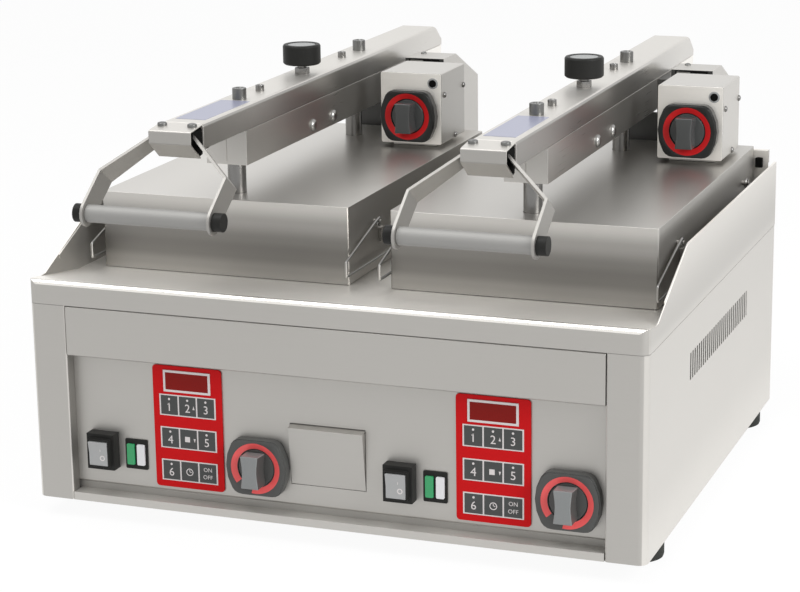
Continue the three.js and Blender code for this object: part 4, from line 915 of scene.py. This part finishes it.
CAP_EDGE = 0.0004
CAP_FRONT_TILT = 0.6
CAP_UNDER_TILT = -0.1
CAP_SCREW_X, CAP_SCREW_Y, CAP_SCREW_Z = 0.0175, -0.3425, 0.4458
CAP_SCREW_PROFILE = ((0.0052, -0.0012), (0.0052, 0.0024), (0.0046, 0.0032), (0.0026, 0.0038))
CAP_SCREW_FACES = 32


class GRILL_OT_caps(bpy.types.Operator):
    """Finishes the folded caps at the beams' front ends and their screws"""

    bl_idname = "grill.caps"
    bl_label = "Beam caps"

    def execute(self, context):
        for side in SIDES:
            lid = side + "_lid"
            x = middle_of(side + "_beam_cap").x
            cap = skin(
                side + "_beam_cap", side + "_cap_sheet", lid, "brushed_steel",
                CAP_EDGE, "beam top steel", "arm steel", "cap steel")
            # Painted shade: the cap's front gets a darker copy of the steel and its underside the
            # darker arm steel.
            painted(cap, 2, lambda face: faces_front(face, CAP_FRONT_TILT))
            painted(cap, 1, lambda face: face.normal.z < CAP_UNDER_TILT)
            heads = [
                turned("head", (x + offset, CAP_SCREW_Y, CAP_SCREW_Z), "Z", CAP_SCREW_PROFILE,
                       CAP_SCREW_FACES)
                for offset in (-CAP_SCREW_X, CAP_SCREW_X)]
            screws = coated(joined(side + "_cap_screws", heads), "screw steel")
            set_on(screws, lid, "polished_steel")
        return {"FINISHED"}


RIVETS = (-0.02805, 0.03595)
RIVET_Z = 0.3913
RIVET = (0.0074, 0.0042)


class GRILL_OT_channels(bpy.types.Operator):
    """Finishes the channels under the beams, and the posts"""

    bl_idname = "grill.channels"
    bl_label = "Channels and posts"

    def execute(self, context):
        edge = sizes().sheet_edge
        for side in SIDES:
            lid = side + "_lid"
            node = side + "_channel"
            # The channel steel carries painted reflections and shade along its length.
            skin(node, node + "_sheet", lid, "brushed_steel", edge, "channel steel")
            x = middle_of(node).x
            low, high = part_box(side + "_beam")
            half = (high - low).x / 2
            domes = [
                dome_screw("dome", (x + sign * half, y, RIVET_Z), "X", *RIVET, sign)
                for sign in (-1, 1) for y in RIVETS]
            set_on(coated(joined(side + "_rivets", domes), "bright steel"), lid, "polished_steel")
            skin(
                side + "_lift_frame", side + "_lift_posts", lid, "dark_steel", edge, "post steel")
        return {"FINISHED"}


THUMB_HEIGHT = 0.0238
THUMB_PROFILE = (
    (0.0205, 0.0), (0.0225, 0.002), (0.0225, 0.0218), (0.0212, THUMB_HEIGHT),
    (0.0168, THUMB_HEIGHT), (0.0165, 0.0228))
THUMB_DISC_PROFILE = ((0.0162, 0.022), (0.0162, 0.0232))
THUMB_NECK_PROFILE = ((0.0055, 0.0005), (0.0055, -0.0036), (0.004, -0.0036))
THUMB_STEM_RADIUS = 0.004
THUMB_FACES, NECK_FACES = 96, 32
THUMB_EDGE, THUMB_DISC_EDGE = 0.0004, 0.0002


class GRILL_OT_thumb_screws(bpy.types.Operator):
    """Turns the thumb screws that lock the lids' height"""

    bl_idname = "grill.thumb_screws"
    bl_label = "Thumb screws"

    def execute(self, context):
        for side in SIDES:
            node = side + "_thumb_screw"
            low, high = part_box(node)
            bottom = high.z - THUMB_HEIGHT
            centre = ((low.x + high.x) / 2, (low.y + high.y) / 2, bottom)
            head = turned(node + "_head", centre, "Z", THUMB_PROFILE, THUMB_FACES, THUMB_EDGE)
            disc = turned(
                node + "_disc", centre, "Z", THUMB_DISC_PROFILE, THUMB_FACES, THUMB_DISC_EDGE)
            stem = (THUMB_STEM_RADIUS, low.z - bottom)
            neck = turned(node + "_neck", centre, "Z", (*THUMB_NECK_PROFILE, stem), NECK_FACES)
            coated(head, "black plastic")
            coated(disc, "knob plastic")
            coated(neck, "post steel")
            set_on(
                joined(node + "_head", [head, disc, neck]), side + "_lock_knob", "black_plastic",
                node)
        return {"FINISHED"}


# Handles

YOKE_EDGE = 0.0002
# Reach of the yoke's block that is painted black as the void under the cap
YOKE_PAINTED_VOID_HALF, YOKE_PAINTED_VOID_FRONT = 0.0238, -0.365
GRIP_TUBE_EDGE = 0.0003
GRIP_CAP_REACH = 0.0815
GRIP_CAP_SHIFT = 0.0035
GRIP_CAP_EDGE = 0.0012


class GRILL_OT_handles(bpy.types.Operator):
    """Finishes the handles' arms, grips and end caps"""

    bl_idname = "grill.handles"
    bl_label = "Handles"

    def execute(self, context):
        for side in SIDES:
            lid = side + "_lid"
            x = middle_of(side + "_beam").x
            yoke = skin(
                side + "_handle_yoke", side + "_yoke_sheet", lid, "brushed_steel",
                YOKE_EDGE, "arm steel", "void black")
            # Painted shade: the yoke's block inside the cap is painted black, so that it shows as a
            # dark void; the arms get a darker copy of the steel.
            painted(yoke, 1, lambda face: (
                abs(face.center.x - x) < YOKE_PAINTED_VOID_HALF and face.center.y > YOKE_PAINTED_VOID_FRONT))
            skin(
                side + "_handle_grip", side + "_grip_tube", lid, "polished_steel",
                GRIP_TUBE_EDGE, "grip steel")
            caps = copy_of(side + "_grip_bolt", side + "_grip_caps")
            middle = middle_of(side + "_grip_bolt").x
            for sign in (-1, 1):
                pick_points(caps, lambda point: sign * (point.x - middle) > GRIP_CAP_REACH)
                bpy.ops.transform.translate(value=(-sign * GRIP_CAP_SHIFT, 0, 0))
                leave()
            smoothed(bevelled(caps, GRIP_CAP_EDGE))
            set_on(coated(caps, "black plastic"), lid, "black_plastic", side + "_grip_bolt")
        return {"FINISHED"}


# Boxes on the lids

BOX_EDGE = 0.0003
BEZEL_STAND = 0.0022
BOX_FACE_DEPTH = 0.0014
SEAM_FRONT, SEAM_REAR = 0.00145, 0.00245
STAND_GAP = 0.0001
LAMP_X, LAMP_Z = 0.128, 0.4238
LAMP_SINK = 0.0004
LAMP_RING = (0.0046, 0.0066, 0.0008)
LAMP_STEPS = 40
BOX_SCREWS = ((0.1185, 0.4083), (0.189, 0.4093), (0.157, 0.3523))
BOX_SCREW = (0.0036, 0.0026)


class GRILL_OT_boxes(bpy.types.Operator):
    """Finishes the control boxes with their seams, lamps and screws"""

    bl_idname = "grill.boxes"
    bl_label = "Control boxes"

    def execute(self, context):
        for side in SIDES:
            lid = side + "_lid"
            box = skin(
                side + "_control_box", side + "_box_shell", lid, "brushed_steel", BOX_EDGE,
                "box steel", "void black", "box front steel", side + " box side steel")
            low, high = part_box(side + "_control_box")
            front = low.y + BEZEL_STAND
            # Painted light and shade: the front face gets a lighter copy of the steel and each
            # box's right side its own lighter or darker copy; the seam's grooves and the lamp are
            # black.
            painted(box, 3, lambda face: face.normal.x > FACING)
            painted(box, 2, lambda face: face.center.y < front + BOX_FACE_DEPTH)
            painted(box, 1, lambda face: (
                front + SEAM_FRONT < face.center.y < front + SEAM_REAR
                or face.center.y < front - STAND_GAP))
            x = middle_of(side + "_beam").x
            lamp = band(
                side + "_box_lamp_ring", (x + LAMP_X, front - LAMP_SINK, LAMP_Z), *LAMP_RING,
                steps=LAMP_STEPS)
            set_on(coated(lamp, "rocker plastic"), lid, "grey_plastic")
            heads = [
                dome_screw("head", (wall, y, z), "X", *BOX_SCREW, sign)
                for sign, wall in ((-1, low.x), (1, high.x)) for y, z in BOX_SCREWS]
            set_on(coated(joined(side + "_box_screws", heads), "post steel"), lid, "polished_steel")
        return {"FINISHED"}


class GRILL_OT_bails(bpy.types.Operator):
    """Rounds the wire bails on the hoods' sides"""

    bl_idname = "grill.bails"
    bl_label = "Bails"
    growth = 0.0003

    def execute(self, context):
        for side in SIDES:
            for end in ("outer", "inner"):
                node = f"{side}_bail_{end}"
                wire = copy_of(node, node + "_wire")
                modified(wire, "SUBSURF", levels=1, render_levels=1)
                whole(wire)
                bpy.ops.transform.shrink_fatten(value=self.growth)
                leave()
                smoothed(wire, WIRE_ANGLE)
                set_on(coated(wire, "wire steel"), side + "_lid", "polished_steel", node)
        return {"FINISHED"}


TOWER_EDGE = 0.0006
TOWER_FRONT_DEPTH, TOWER_HEAD = 0.006, 0.05
TOWER_STEP_REACH, TOWER_STEP_TILT = 0.0422, 0.5
# Two corners each: across from the beam's middle, back from the tower's front, and height
# The slot is a thin black block of painted shade
TOWER_SLOT_SHADE = ((0.047, -0.0002, 0.4255), (0.088, 0.0004, 0.4305))
TOWER_STRIP = ((0.049, -0.0005, 0.4268), (0.066, 0.0002, 0.4288))
TOWER_SCREW_X, TOWER_SCREW_Y = 0.0536, 0.27995
TOWER_SCREW = (0.0038, 0.0024)


class GRILL_OT_towers(bpy.types.Operator):
    """Finishes the hinge towers with painted shade on their fronts and steps, the slot as a black
    block of painted shade, and the screw beside the beam
    """

    bl_idname = "grill.towers"
    bl_label = "Hinge towers"

    def execute(self, context):
        for side in SIDES:
            tower = skin(
                side + "_hinge_tower", side + "_tower_housing", "body", "brushed_steel",
                TOWER_EDGE, "tower steel", "dark tower steel")
            low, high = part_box(side + "_hinge_tower")
            x = middle_of(side + "_beam").x
            # Painted shade: the front below the tower's head and the up-facing step beside the beam
            # get a dark copy of the steel.
            painted(tower, 1, lambda face: (
                faces_front(face) and face.center.y < low.y + TOWER_FRONT_DEPTH
                and face.center.z < high.z - TOWER_HEAD))
            painted(tower, 1, lambda face: (
                face.center.x < x + TOWER_STEP_REACH and faces_up(face, TOWER_STEP_TILT)))
            corner = Vector((x, low.y, 0))
            # The slot is a thin black block of painted shade.
            for name, (start, end), look, slot in (
                    ("_tower_slot", TOWER_SLOT_SHADE, "void black", "black_plastic"),
                    ("_tower_strip", TOWER_STRIP, "bright steel", "polished_steel")):
                piece = block(side + name, corner + Vector(start), corner + Vector(end))
                set_on(coated(piece, look), "body", slot)
            head = dome_screw(
                side + "_tower_screw", (x + TOWER_SCREW_X, TOWER_SCREW_Y, high.z), "Z",
                *TOWER_SCREW)
            set_on(coated(head, "screw steel"), "body", "dark_steel")
        return {"FINISHED"}


# Controls

BEZEL_EDGE = 0.0012
DIAL_WALL = 0.0288
DIAL_WELL = 0.0215
DIAL_DROP = 0.0026
RING_LIFT = 0.00005
RING_THICKNESS = 0.0003
KNOB_FACE_DROP = 0.0027
KNOB_RADIUS = 0.0208
KNOB_DISC = 0.006
KNOB_ROUNDING = 0.0008
KNOB_FACES, KNOB_EDGE = 80, 0.0002
SPINDLE_RADIUS, SPINDLE_START, SPINDLE_FACES = 0.003, 0.005, 24
GRIP_HEIGHT = 0.0195
GRIP_HALF_WIDTH, GRIP_HALF_LENGTH = 0.0112, 0.0175
GRIP_SINK = 0.0002
GRIP_FLARE = (0.92, 1, 1.04)
# Places along the grip, and the share of its width there
GRIP_WAISTS = ((-0.66, 0.92), (-0.33, 0.85), (0.0, 0.82), (0.33, 0.85), (0.66, 0.92))
GRIP_CUT_REACH = 0.0004
GRIP_EDGE = 0.0011
GRIP_TOP_TILT, GRIP_END_TILT = 0.7, 0.5


def dial_knob(name, x, front, z, back, face_finish, disc_finish):
    """A disc with a waisted grip across it and a spindle behind it."""
    face = front + KNOB_FACE_DROP
    centre = (x, face, z)
    disc = turned(name + "_disc", centre, "Y", [
        (KNOB_RADIUS, KNOB_DISC), (KNOB_RADIUS, KNOB_ROUNDING), (KNOB_RADIUS - KNOB_ROUNDING, 0.0)],
        KNOB_FACES, KNOB_EDGE)
    spindle = turned(name + "_spindle", centre, "Y", [
        (SPINDLE_RADIUS, SPINDLE_START), (SPINDLE_RADIUS, back - face)], SPINDLE_FACES)
    deselect()
    bpy.ops.mesh.primitive_cube_add(
        size=1, location=(x, face - GRIP_HEIGHT / 2 + GRIP_SINK, z),
        scale=(GRIP_HALF_WIDTH * 2, GRIP_HEIGHT, GRIP_HALF_LENGTH * 2))
    grip = placed(named(name + "_handle"))
    pick_faces(grip, faces_front)
    bpy.ops.transform.resize(value=GRIP_FLARE)
    for share, waist in GRIP_WAISTS:
        whole(grip)
        bpy.ops.mesh.bisect(
            plane_co=(x, face, z + GRIP_HALF_LENGTH * share), plane_no=(0, 0, 1))
        leave()
    for share, waist in GRIP_WAISTS:
        level = z + GRIP_HALF_LENGTH * share
        pick_points(grip, lambda point: abs(point.z - level) < GRIP_CUT_REACH)
        bpy.ops.transform.resize(value=(waist, 1, 1), center_override=centre)
        leave()
    smoothed(bevelled(grip, GRIP_EDGE, 3), MOULDED_ANGLE)
    coated(disc, disc_finish)
    coated(spindle, disc_finish)
    coated(grip, disc_finish, face_finish)
    painted(grip, 1, lambda side: (
        faces_front(side, GRIP_TOP_TILT) or abs(side.normal.z) > GRIP_END_TILT))
    return joined(name + "_grip", [grip, disc, spindle])


def dress_dial(bezel, knob, body, knob_body, finishes, start, sweep):
    """A bezel with its printed ring, and the knob that turns in it."""
    bezel_finish, ring_finish, face_finish, disc_finish = finishes
    shell = bevelled(copy_of(bezel, bezel + "_shell", False), BEZEL_EDGE, 3)
    coated(smoothed(shell, MOULDED_ANGLE), bezel_finish)
    set_on(shell, body, "black_plastic", bezel)
    low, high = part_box(bezel)
    x, z = (low.x + high.x) / 2, (low.z + high.z) / 2
    inner, outer = sizes().ring_inner, sizes().ring_outer
    slope = DIAL_DROP / (DIAL_WALL - DIAL_WELL)
    ring = band(
        bezel + "_ring", (x, low.y + (DIAL_WALL - outer) * slope - RING_LIFT, z), inner, outer,
        RING_THICKNESS, (outer - inner) * slope, start, sweep)
    set_on(coated(ring, ring_finish), body, "red_film")
    piece = dial_knob(knob, x, low.y, z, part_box(knob)[1].y, face_finish, disc_finish)
    set_on(piece, knob_body, "grey_plastic", knob)


class GRILL_OT_front_dials(bpy.types.Operator):
    """Shapes the dials on the front, whose rings are open at the lower left"""

    bl_idname = "grill.front_dials"
    bl_label = "Front dials"
    ring_start = math.radians(219)
    ring_sweep = math.radians(319)

    def execute(self, context):
        for side in SIDES:
            dress_dial(
                side + "_dial_bezel", side + "_dial_knob", "body", side + "_front_dial",
                ("bezel plastic", "front ring print", "knob plastic", "bezel plastic"),
                self.ring_start, self.ring_sweep)
        return {"FINISHED"}


class GRILL_OT_box_dials(bpy.types.Operator):
    """Shapes the dials on the lid boxes"""

    bl_idname = "grill.box_dials"
    bl_label = "Lid dials"

    def execute(self, context):
        for side in SIDES:
            dress_dial(
                side + "_box_bezel", side + "_box_knob", side + "_lid", side + "_lid_dial",
                ("black bezel plastic", "lid ring print", "dark knob plastic", "dark knob plastic"),
                0.0, FULL_TURN)
        return {"FINISHED"}


def face_plane(piece, test):
    """The middle and normal of the largest face that passes the test."""
    faces = [face for face in piece.data.polygons if test(face)]
    if not faces:
        raise RuntimeError(piece.name + " has no such face")
    largest = max(faces, key=lambda face: face.area)
    return largest.center.copy(), largest.normal.copy()


CASE_EDGE, ROCKER_EDGE = 0.0006, 0.0004
# Shares of the rocker's width from the left and of its height from the top
ROCKER_MARKS = ((0.63, 0.33), (0.72, 0.68))
STROKE_HEIGHT = 0.0042
CIRCLE = (0.0019, 0.0031, 0.0003)
CIRCLE_STEPS = 36


class GRILL_OT_switches(bpy.types.Operator):
    """Finishes the rocker switches and their marks"""

    bl_idname = "grill.switches"
    bl_label = "Switches"

    def execute(self, context):
        for side in SIDES:
            skin(
                side + "_switch_housing", side + "_switch_case", "body", "black_plastic",
                CASE_EDGE, "black plastic")
            node, body = side + "_rocker", side + "_switch_rocker"
            rocker = copy_of(node, node + "_cap")
            low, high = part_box(node)
            marks = [self.mark(rocker, low, high, *shares) for shares in ROCKER_MARKS]
            set_on(joined(node + "_marks", marks), body, "grey_plastic")
            smoothed(bevelled(rocker, ROCKER_EDGE))
            set_on(coated(rocker, "rocker plastic"), body, "grey_plastic", node)
        return {"FINISHED"}

    def mark(self, rocker, low, high, across, down):
        """A stroke on the upper half or a circle on the lower half, lying on the slope there."""
        middle = (low + high) / 2
        x = low.x + (high.x - low.x) * across
        z = high.z - (high.z - low.z) * down
        upper = z > middle.z
        centre, normal = face_plane(
            rocker, lambda face: faces_front(face) and (face.center.z > middle.z) == upper)
        y = centre.y - (normal.z * (z - centre.z)) / normal.y
        if upper:
            mark = lettering("mark", "I", STROKE_HEIGHT, (x, y, z))
        else:
            tilt = math.atan2(-normal.z, -normal.y)
            mark = band("mark", (x, y, z), *CIRCLE, tilt=tilt, steps=CIRCLE_STEPS)
        return coated(mark, "pale print")


LAMP_EDGE = 0.0005
LENS_DEPTH = 0.0021


class GRILL_OT_indicators(bpy.types.Operator):
    """Finishes the green and white indicator lamps"""

    bl_idname = "grill.indicators"
    bl_label = "Indicators"

    def execute(self, context):
        for side in SIDES:
            node = side + "_indicator"
            lamp = skin(
                node, node + "_frame", "body", "black_plastic", LAMP_EDGE,
                "black plastic", "green lens", "white lens")
            low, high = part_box(node)
            x = (low.x + high.x) / 2
            lens_front = low.y + LENS_DEPTH
            painted(lamp, 1, lambda face: face.center.y < lens_front and face.center.x < x)
            painted(lamp, 2, lambda face: face.center.y < lens_front and face.center.x > x)
        return {"FINISHED"}


MARK_HALF = 0.0001
MARK_EDGE = 0.00003
ARROW_EDGE = 0.00001
ARROW_TIP = (0.05, 1, 1)
FLAG = (0.0014, MARK_HALF, 0.0005)
FLAG_TILT = math.radians(40)
CLOCK_RIM_SHARE, CLOCK_HAND_SHARE = 0.78, 0.11
CLOCK_TALL_SHARE, CLOCK_WIDE_SHARE = 0.6, 0.5
CLOCK_THICKNESS = 0.0002


def arrow(name, centre, width, height, up):
    """A small three-cornered mark."""
    half = Vector((width / 2, MARK_HALF, height / 2))
    centre = Vector(centre)
    piece = block(name, centre - half, centre + half, ARROW_EDGE, 1)
    pick_points(piece, lambda point: (point.z > centre.z) == up)
    bpy.ops.transform.resize(value=ARROW_TIP)
    leave()
    return piece


def flag_mark(name, centre):
    """The short slanted stroke of a figure one."""
    piece = block(name, -Vector(FLAG), FLAG, MARK_EDGE)
    piece.rotation_euler = (0, -FLAG_TILT, 0)
    piece.location = centre
    return placed(piece)


def clock_mark(name, centre, radius):
    """A small dial with two hands."""
    rim = band(
        "rim", centre, radius * CLOCK_RIM_SHARE, radius, CLOCK_THICKNESS, steps=CIRCLE_STEPS)
    half = radius * CLOCK_HAND_SHARE
    centre = Vector(centre)
    low = centre - Vector((half, MARK_HALF, half))
    tall = centre + Vector((half, MARK_HALF, radius * CLOCK_TALL_SHARE))
    wide = centre + Vector((radius * CLOCK_WIDE_SHARE, MARK_HALF, half))
    hands = [block("hand", low, corner, MARK_EDGE) for corner in (tall, wide)]
    return joined(name, [rim, *hands])


FILM_EDGE = 0.0002
FILM_THICKNESS = 0.0016
FILM_GAP = 0.0001
KEY_LAYOUT = (("1", "2", "3"), ("4", "", "5"), ("6", "", ""))
KEY_PITCH, KEY_ROW_PITCH = 0.0218, 0.0373
KEY_TOP_ROW = 0.0248
KEY_SIZE = (0.0201, 0.0216)
KEY_STAND = 0.0005
KEY_FRAME = (0.0017, 0.0013)
KEY_FRAME_STAND, KEY_FRAME_SINK = 0.0003, 0.0002
WINDOW_RISE = 0.0523
WINDOW_SIZE = (0.0559, 0.0246)
WINDOW_STAND = 0.0009
WINDOW_FRAME = 0.0026
WINDOW_MARGIN = 0.0005
DISPLAY_STAND, DISPLAY_SINK = 0.00012, 0.0002
NUMBER_DROP = 0.002
FLAG_PLACE = (0.0008, 0.0014)
DOT_RISE = 0.0069
DOT_PROFILE = ((0.0013, 0.0001), (0.0013, -0.0001))
DOT_FACES = 20
ARROW_PLACE = (0.0073, 0.001)
ARROW_SIZE = (0.0024, 0.004)
SQUARE_LOW, SQUARE_HIGH = (-0.0043, -MARK_HALF, -0.0033), (0.0017, MARK_HALF, 0.0027)
SQUARE_EDGE = 0.00005
CLOCK_DROP, CLOCK_RADIUS = 0.0005, 0.0042
WORD_RISE = 0.0042


class GRILL_OT_keypads(bpy.types.Operator):
    """Finishes the keypads with their displays, key frames and marks"""

    bl_idname = "grill.keypads"
    bl_label = "Keypads"

    def execute(self, context):
        for side in SIDES:
            node = side + "_keypad"
            film = skin(
                node, node + "_film", "body", "red_film", FILM_EDGE,
                "keypad film", "key plastic", "pale print")
            low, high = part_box(node)
            x, z = (low.x + high.x) / 2, (low.z + high.z) / 2
            back = high.y - FILM_THICKNESS
            window_z = z + WINDOW_RISE
            window_bottom = window_z - WINDOW_SIZE[1] / 2 - WINDOW_MARGIN
            painted(film, 1, lambda face: face.center.y < back - FILM_GAP)
            painted(film, 2, lambda face: (
                face.center.y < back - FILM_GAP and face.center.z > window_bottom))
            front = back - WINDOW_STAND
            half_wide, half_tall = [size / 2 - WINDOW_FRAME for size in WINDOW_SIZE]
            window = block(
                node + "_display", (x - half_wide, front - DISPLAY_STAND, window_z - half_tall),
                (x + half_wide, front + DISPLAY_SINK, window_z + half_tall))
            set_on(coated(window, "display window"), "body", "red_film")
            self.frame_keys(node, x, z, back)
            self.mark_keys(node, x, z, back - KEY_STAND)
        return {"FINISHED"}

    def frame_keys(self, node, x, z, back):
        plates = []
        half_wide = KEY_PITCH + KEY_SIZE[0] / 2 + KEY_FRAME[0]
        half_tall = KEY_SIZE[1] / 2 + KEY_FRAME[1]
        for row in range(len(KEY_LAYOUT)):
            level = z + KEY_TOP_ROW - row * KEY_ROW_PITCH
            plates.append(block(
                "plate", (x - half_wide, back - KEY_FRAME_STAND, level - half_tall),
                (x + half_wide, back + KEY_FRAME_SINK, level + half_tall)))
        set_on(coated(joined(node + "_key_frames", plates), "pale print"), "body", "grey_plastic")

    def mark_keys(self, node, x, z, front):
        marks = []
        rows = [z + KEY_TOP_ROW - row * KEY_ROW_PITCH for row in range(len(KEY_LAYOUT))]
        for level, numbers in zip(rows, KEY_LAYOUT):
            for column, number in enumerate(numbers):
                if number:
                    marks += self.number(number, x + (column - 1) * KEY_PITCH, front, level)
        top, middle, lowest = rows
        right, drop = ARROW_PLACE
        marks.append(arrow("mark", (x + right, front, top - drop), *ARROW_SIZE, True))
        marks.append(arrow("mark", (x + right, front, middle - drop), *ARROW_SIZE, False))
        square = Vector((x, front, middle))
        marks.append(block(
            "mark", square + Vector(SQUARE_LOW), square + Vector(SQUARE_HIGH), SQUARE_EDGE))
        marks.append(clock_mark("mark", (x, front, lowest - CLOCK_DROP), CLOCK_RADIUS))
        for word, rise in (("ON", WORD_RISE), ("OFF", -WORD_RISE)):
            marks.append(lettering(
                "word", word, sizes().word_height, (x + KEY_PITCH, front, lowest + rise)))
        set_on(coated(joined(node + "_marks", marks), "pale print"), "body", "grey_plastic")

    def number(self, number, across, front, level):
        """A number with the dot above it, and a clearer stroke on the figure one."""
        marks = [lettering(
            "number", number, sizes().number_height, (across, front, level - NUMBER_DROP))]
        if number == "1":
            left, rise = FLAG_PLACE
            marks.append(flag_mark("flag", (across - left, front, level + rise)))
        marks.append(turned(
            "dot", (across, front, level + DOT_RISE), "Y", DOT_PROFILE, DOT_FACES))
        return marks


# Studio

FLOOR_DROP = 0.0002
FLOOR_SIDES = 96
FLOOR_ROUGHNESS, FLOOR_SPECULAR = 0.9, 0.1
WHITE = (1, 1, 1, 1)
# Place, aim and width of each soft light
KEY_LIGHT = ((2.4, -0.9, 1.7), (0.2, 0, 0.2), 1.6)
TOP_LIGHT = ((-0.8, -0.6, 2.6), (0, 0, 0.2), 2.0)
SENSOR_WIDTH = 36


def white_to_eye(tree, share):
    """The share of plain white for what the camera, mirrors and glass see."""
    path = node_of(tree, "ShaderNodeLightPath")
    eye_or_mirror = node_of(tree, "ShaderNodeMath", operation="MAXIMUM")
    any_of = node_of(tree, "ShaderNodeMath", operation="MAXIMUM")
    scale = node_of(tree, "ShaderNodeMath", {1: share}, operation="MULTIPLY")
    link = tree.links.new
    link(path.outputs["Is Camera Ray"], eye_or_mirror.inputs[0])
    link(path.outputs["Is Glossy Ray"], eye_or_mirror.inputs[1])
    link(eye_or_mirror.outputs[0], any_of.inputs[0])
    link(path.outputs["Is Transmission Ray"], any_of.inputs[1])
    link(any_of.outputs[0], scale.inputs[0])
    return scale.outputs[0]


def mixed(tree, share, plain, white, output):
    """Shows plain white in place of the lit look by the share."""
    mix = node_of(tree, "ShaderNodeMixShader")
    tree.links.new(share, mix.inputs["Fac"])
    tree.links.new(plain, mix.inputs[1])
    tree.links.new(white, mix.inputs[2])
    tree.links.new(mix.outputs["Shader"], tree.nodes[output].inputs["Surface"])


def lay_floor():
    deselect()
    bpy.ops.mesh.primitive_circle_add(
        vertices=FLOOR_SIDES, radius=stage().floor_radius, fill_type="NGON",
        location=(0, 0, -FLOOR_DROP))
    floor = placed(named("floor"))
    material = bpy.data.materials.new("studio floor")
    material.use_nodes = True
    tree = material.node_tree
    shader = tree.nodes["Principled BSDF"]
    shader.inputs["Base Color"].default_value = (*stage().floor, 1)
    shader.inputs["Roughness"].default_value = FLOOR_ROUGHNESS
    shader.inputs["Specular IOR Level"].default_value = FLOOR_SPECULAR
    white = node_of(tree, "ShaderNodeEmission", {"Strength": 1.0})
    share = white_to_eye(tree, stage().floor_white)
    mixed(tree, share, shader.outputs["BSDF"], white.outputs["Emission"], "Material Output")
    floor.data.materials.append(material)


def light_world():
    world = bpy.data.worlds.new("studio air")
    bpy.context.scene.world = world
    world.use_nodes = True
    tree = world.node_tree
    base = tree.nodes["Background"]
    base.inputs["Color"].default_value = WHITE
    base.inputs["Strength"].default_value = stage().world_light
    white = node_of(tree, "ShaderNodeBackground", {"Color": WHITE, "Strength": 1.0})
    share = white_to_eye(tree, 1.0)
    mixed(tree, share, base.outputs["Background"], white.outputs["Background"], "World Output")


def hang_light(name, place, aim, size, watts):
    deselect()
    bpy.ops.object.light_add(type="AREA", location=place)
    lamp = named(name)
    lamp.data.shape = "DISK"
    lamp.data.size = size
    lamp.data.energy = watts
    direction = Vector(aim) - Vector(place)
    lamp.rotation_euler = direction.to_track_quat("-Z", "Y").to_euler()


def set_camera():
    settings = stage()
    yaw, pitch, roll = settings.camera_yaw, settings.camera_pitch, settings.camera_roll
    forward = Vector((
        -math.sin(yaw) * math.cos(pitch), math.cos(yaw) * math.cos(pitch), -math.sin(pitch)))
    level = Vector((math.cos(yaw), math.sin(yaw), 0))
    upright = level.cross(forward)
    right = level * math.cos(roll) + upright * math.sin(roll)
    up = upright * math.cos(roll) - level * math.sin(roll)
    deselect()
    bpy.ops.object.camera_add(location=settings.camera_place)
    camera = named("camera")
    turn = Matrix((right, up, -forward)).transposed().to_4x4()
    camera.matrix_world = Matrix.Translation(settings.camera_place) @ turn
    camera.data.sensor_fit = "HORIZONTAL"
    camera.data.sensor_width = SENSOR_WIDTH
    camera.data.lens = settings.camera_lens
    bpy.context.scene.camera = camera


class GRILL_OT_studio(bpy.types.Operator):
    """Sets up the floor, the lights and the camera"""

    bl_idname = "grill.studio"
    bl_label = "Studio"

    def execute(self, context):
        lay_floor()
        light_world()
        hang_light("key light", *KEY_LIGHT, stage().key_power)
        hang_light("top light", *TOP_LIGHT, stage().top_power)
        set_camera()
        context.scene.view_settings.view_transform = "Standard"
        return {"FINISHED"}


# Panel and registration

STEPS = (
    GRILL_OT_studio, GRILL_OT_body, GRILL_OT_body_screws, GRILL_OT_feet, GRILL_OT_gland,
    GRILL_OT_drawer, GRILL_OT_plates, GRILL_OT_hoods, GRILL_OT_beams, GRILL_OT_caps,
    GRILL_OT_channels, GRILL_OT_thumb_screws, GRILL_OT_handles, GRILL_OT_boxes, GRILL_OT_bails,
    GRILL_OT_towers, GRILL_OT_front_dials, GRILL_OT_box_dials, GRILL_OT_switches,
    GRILL_OT_indicators, GRILL_OT_keypads,
)


class GRILL_PT_panel(bpy.types.Panel):
    """Lists the settings and the building steps"""

    bl_idname = "GRILL_PT_panel"
    bl_label = "Contact grill"
    bl_space_type = "VIEW_3D"
    bl_region_type = "UI"
    bl_category = "Contact grill"

    def draw(self, context):
        scene = context.scene
        for group in (scene.grill_colours, scene.grill_sizes, scene.grill_stage):
            column = self.layout.column()
            for key in group.__annotations__:
                column.prop(group, key)
        for step in STEPS:
            self.layout.operator(step.bl_idname)


CLASSES = (GrillColours, GrillSizes, GrillStage, *STEPS, GRILL_PT_panel)


def register():
    for item in CLASSES:
        bpy.utils.register_class(item)
    bpy.types.Scene.grill_colours = PointerProperty(type=GrillColours)
    bpy.types.Scene.grill_sizes = PointerProperty(type=GrillSizes)
    bpy.types.Scene.grill_stage = PointerProperty(type=GrillStage)


def unregister():
    del bpy.types.Scene.grill_stage
    del bpy.types.Scene.grill_sizes
    del bpy.types.Scene.grill_colours
    for item in reversed(CLASSES):
        bpy.utils.unregister_class(item)


def main():
    register()
    bpy.ops.grill.studio()
    bpy.ops.grill.body()
    bpy.ops.grill.body_screws()
    bpy.ops.grill.feet()
    bpy.ops.grill.gland()
    bpy.ops.grill.drawer()
    bpy.ops.grill.plates()
    bpy.ops.grill.hoods()
    bpy.ops.grill.beams()
    bpy.ops.grill.caps()
    bpy.ops.grill.channels()
    bpy.ops.grill.thumb_screws()
    bpy.ops.grill.handles()
    bpy.ops.grill.boxes()
    bpy.ops.grill.bails()
    bpy.ops.grill.towers()
    bpy.ops.grill.front_dials()
    bpy.ops.grill.box_dials()
    bpy.ops.grill.switches()
    bpy.ops.grill.indicators()
    bpy.ops.grill.keypads()


if __name__ == "__main__":
    main()
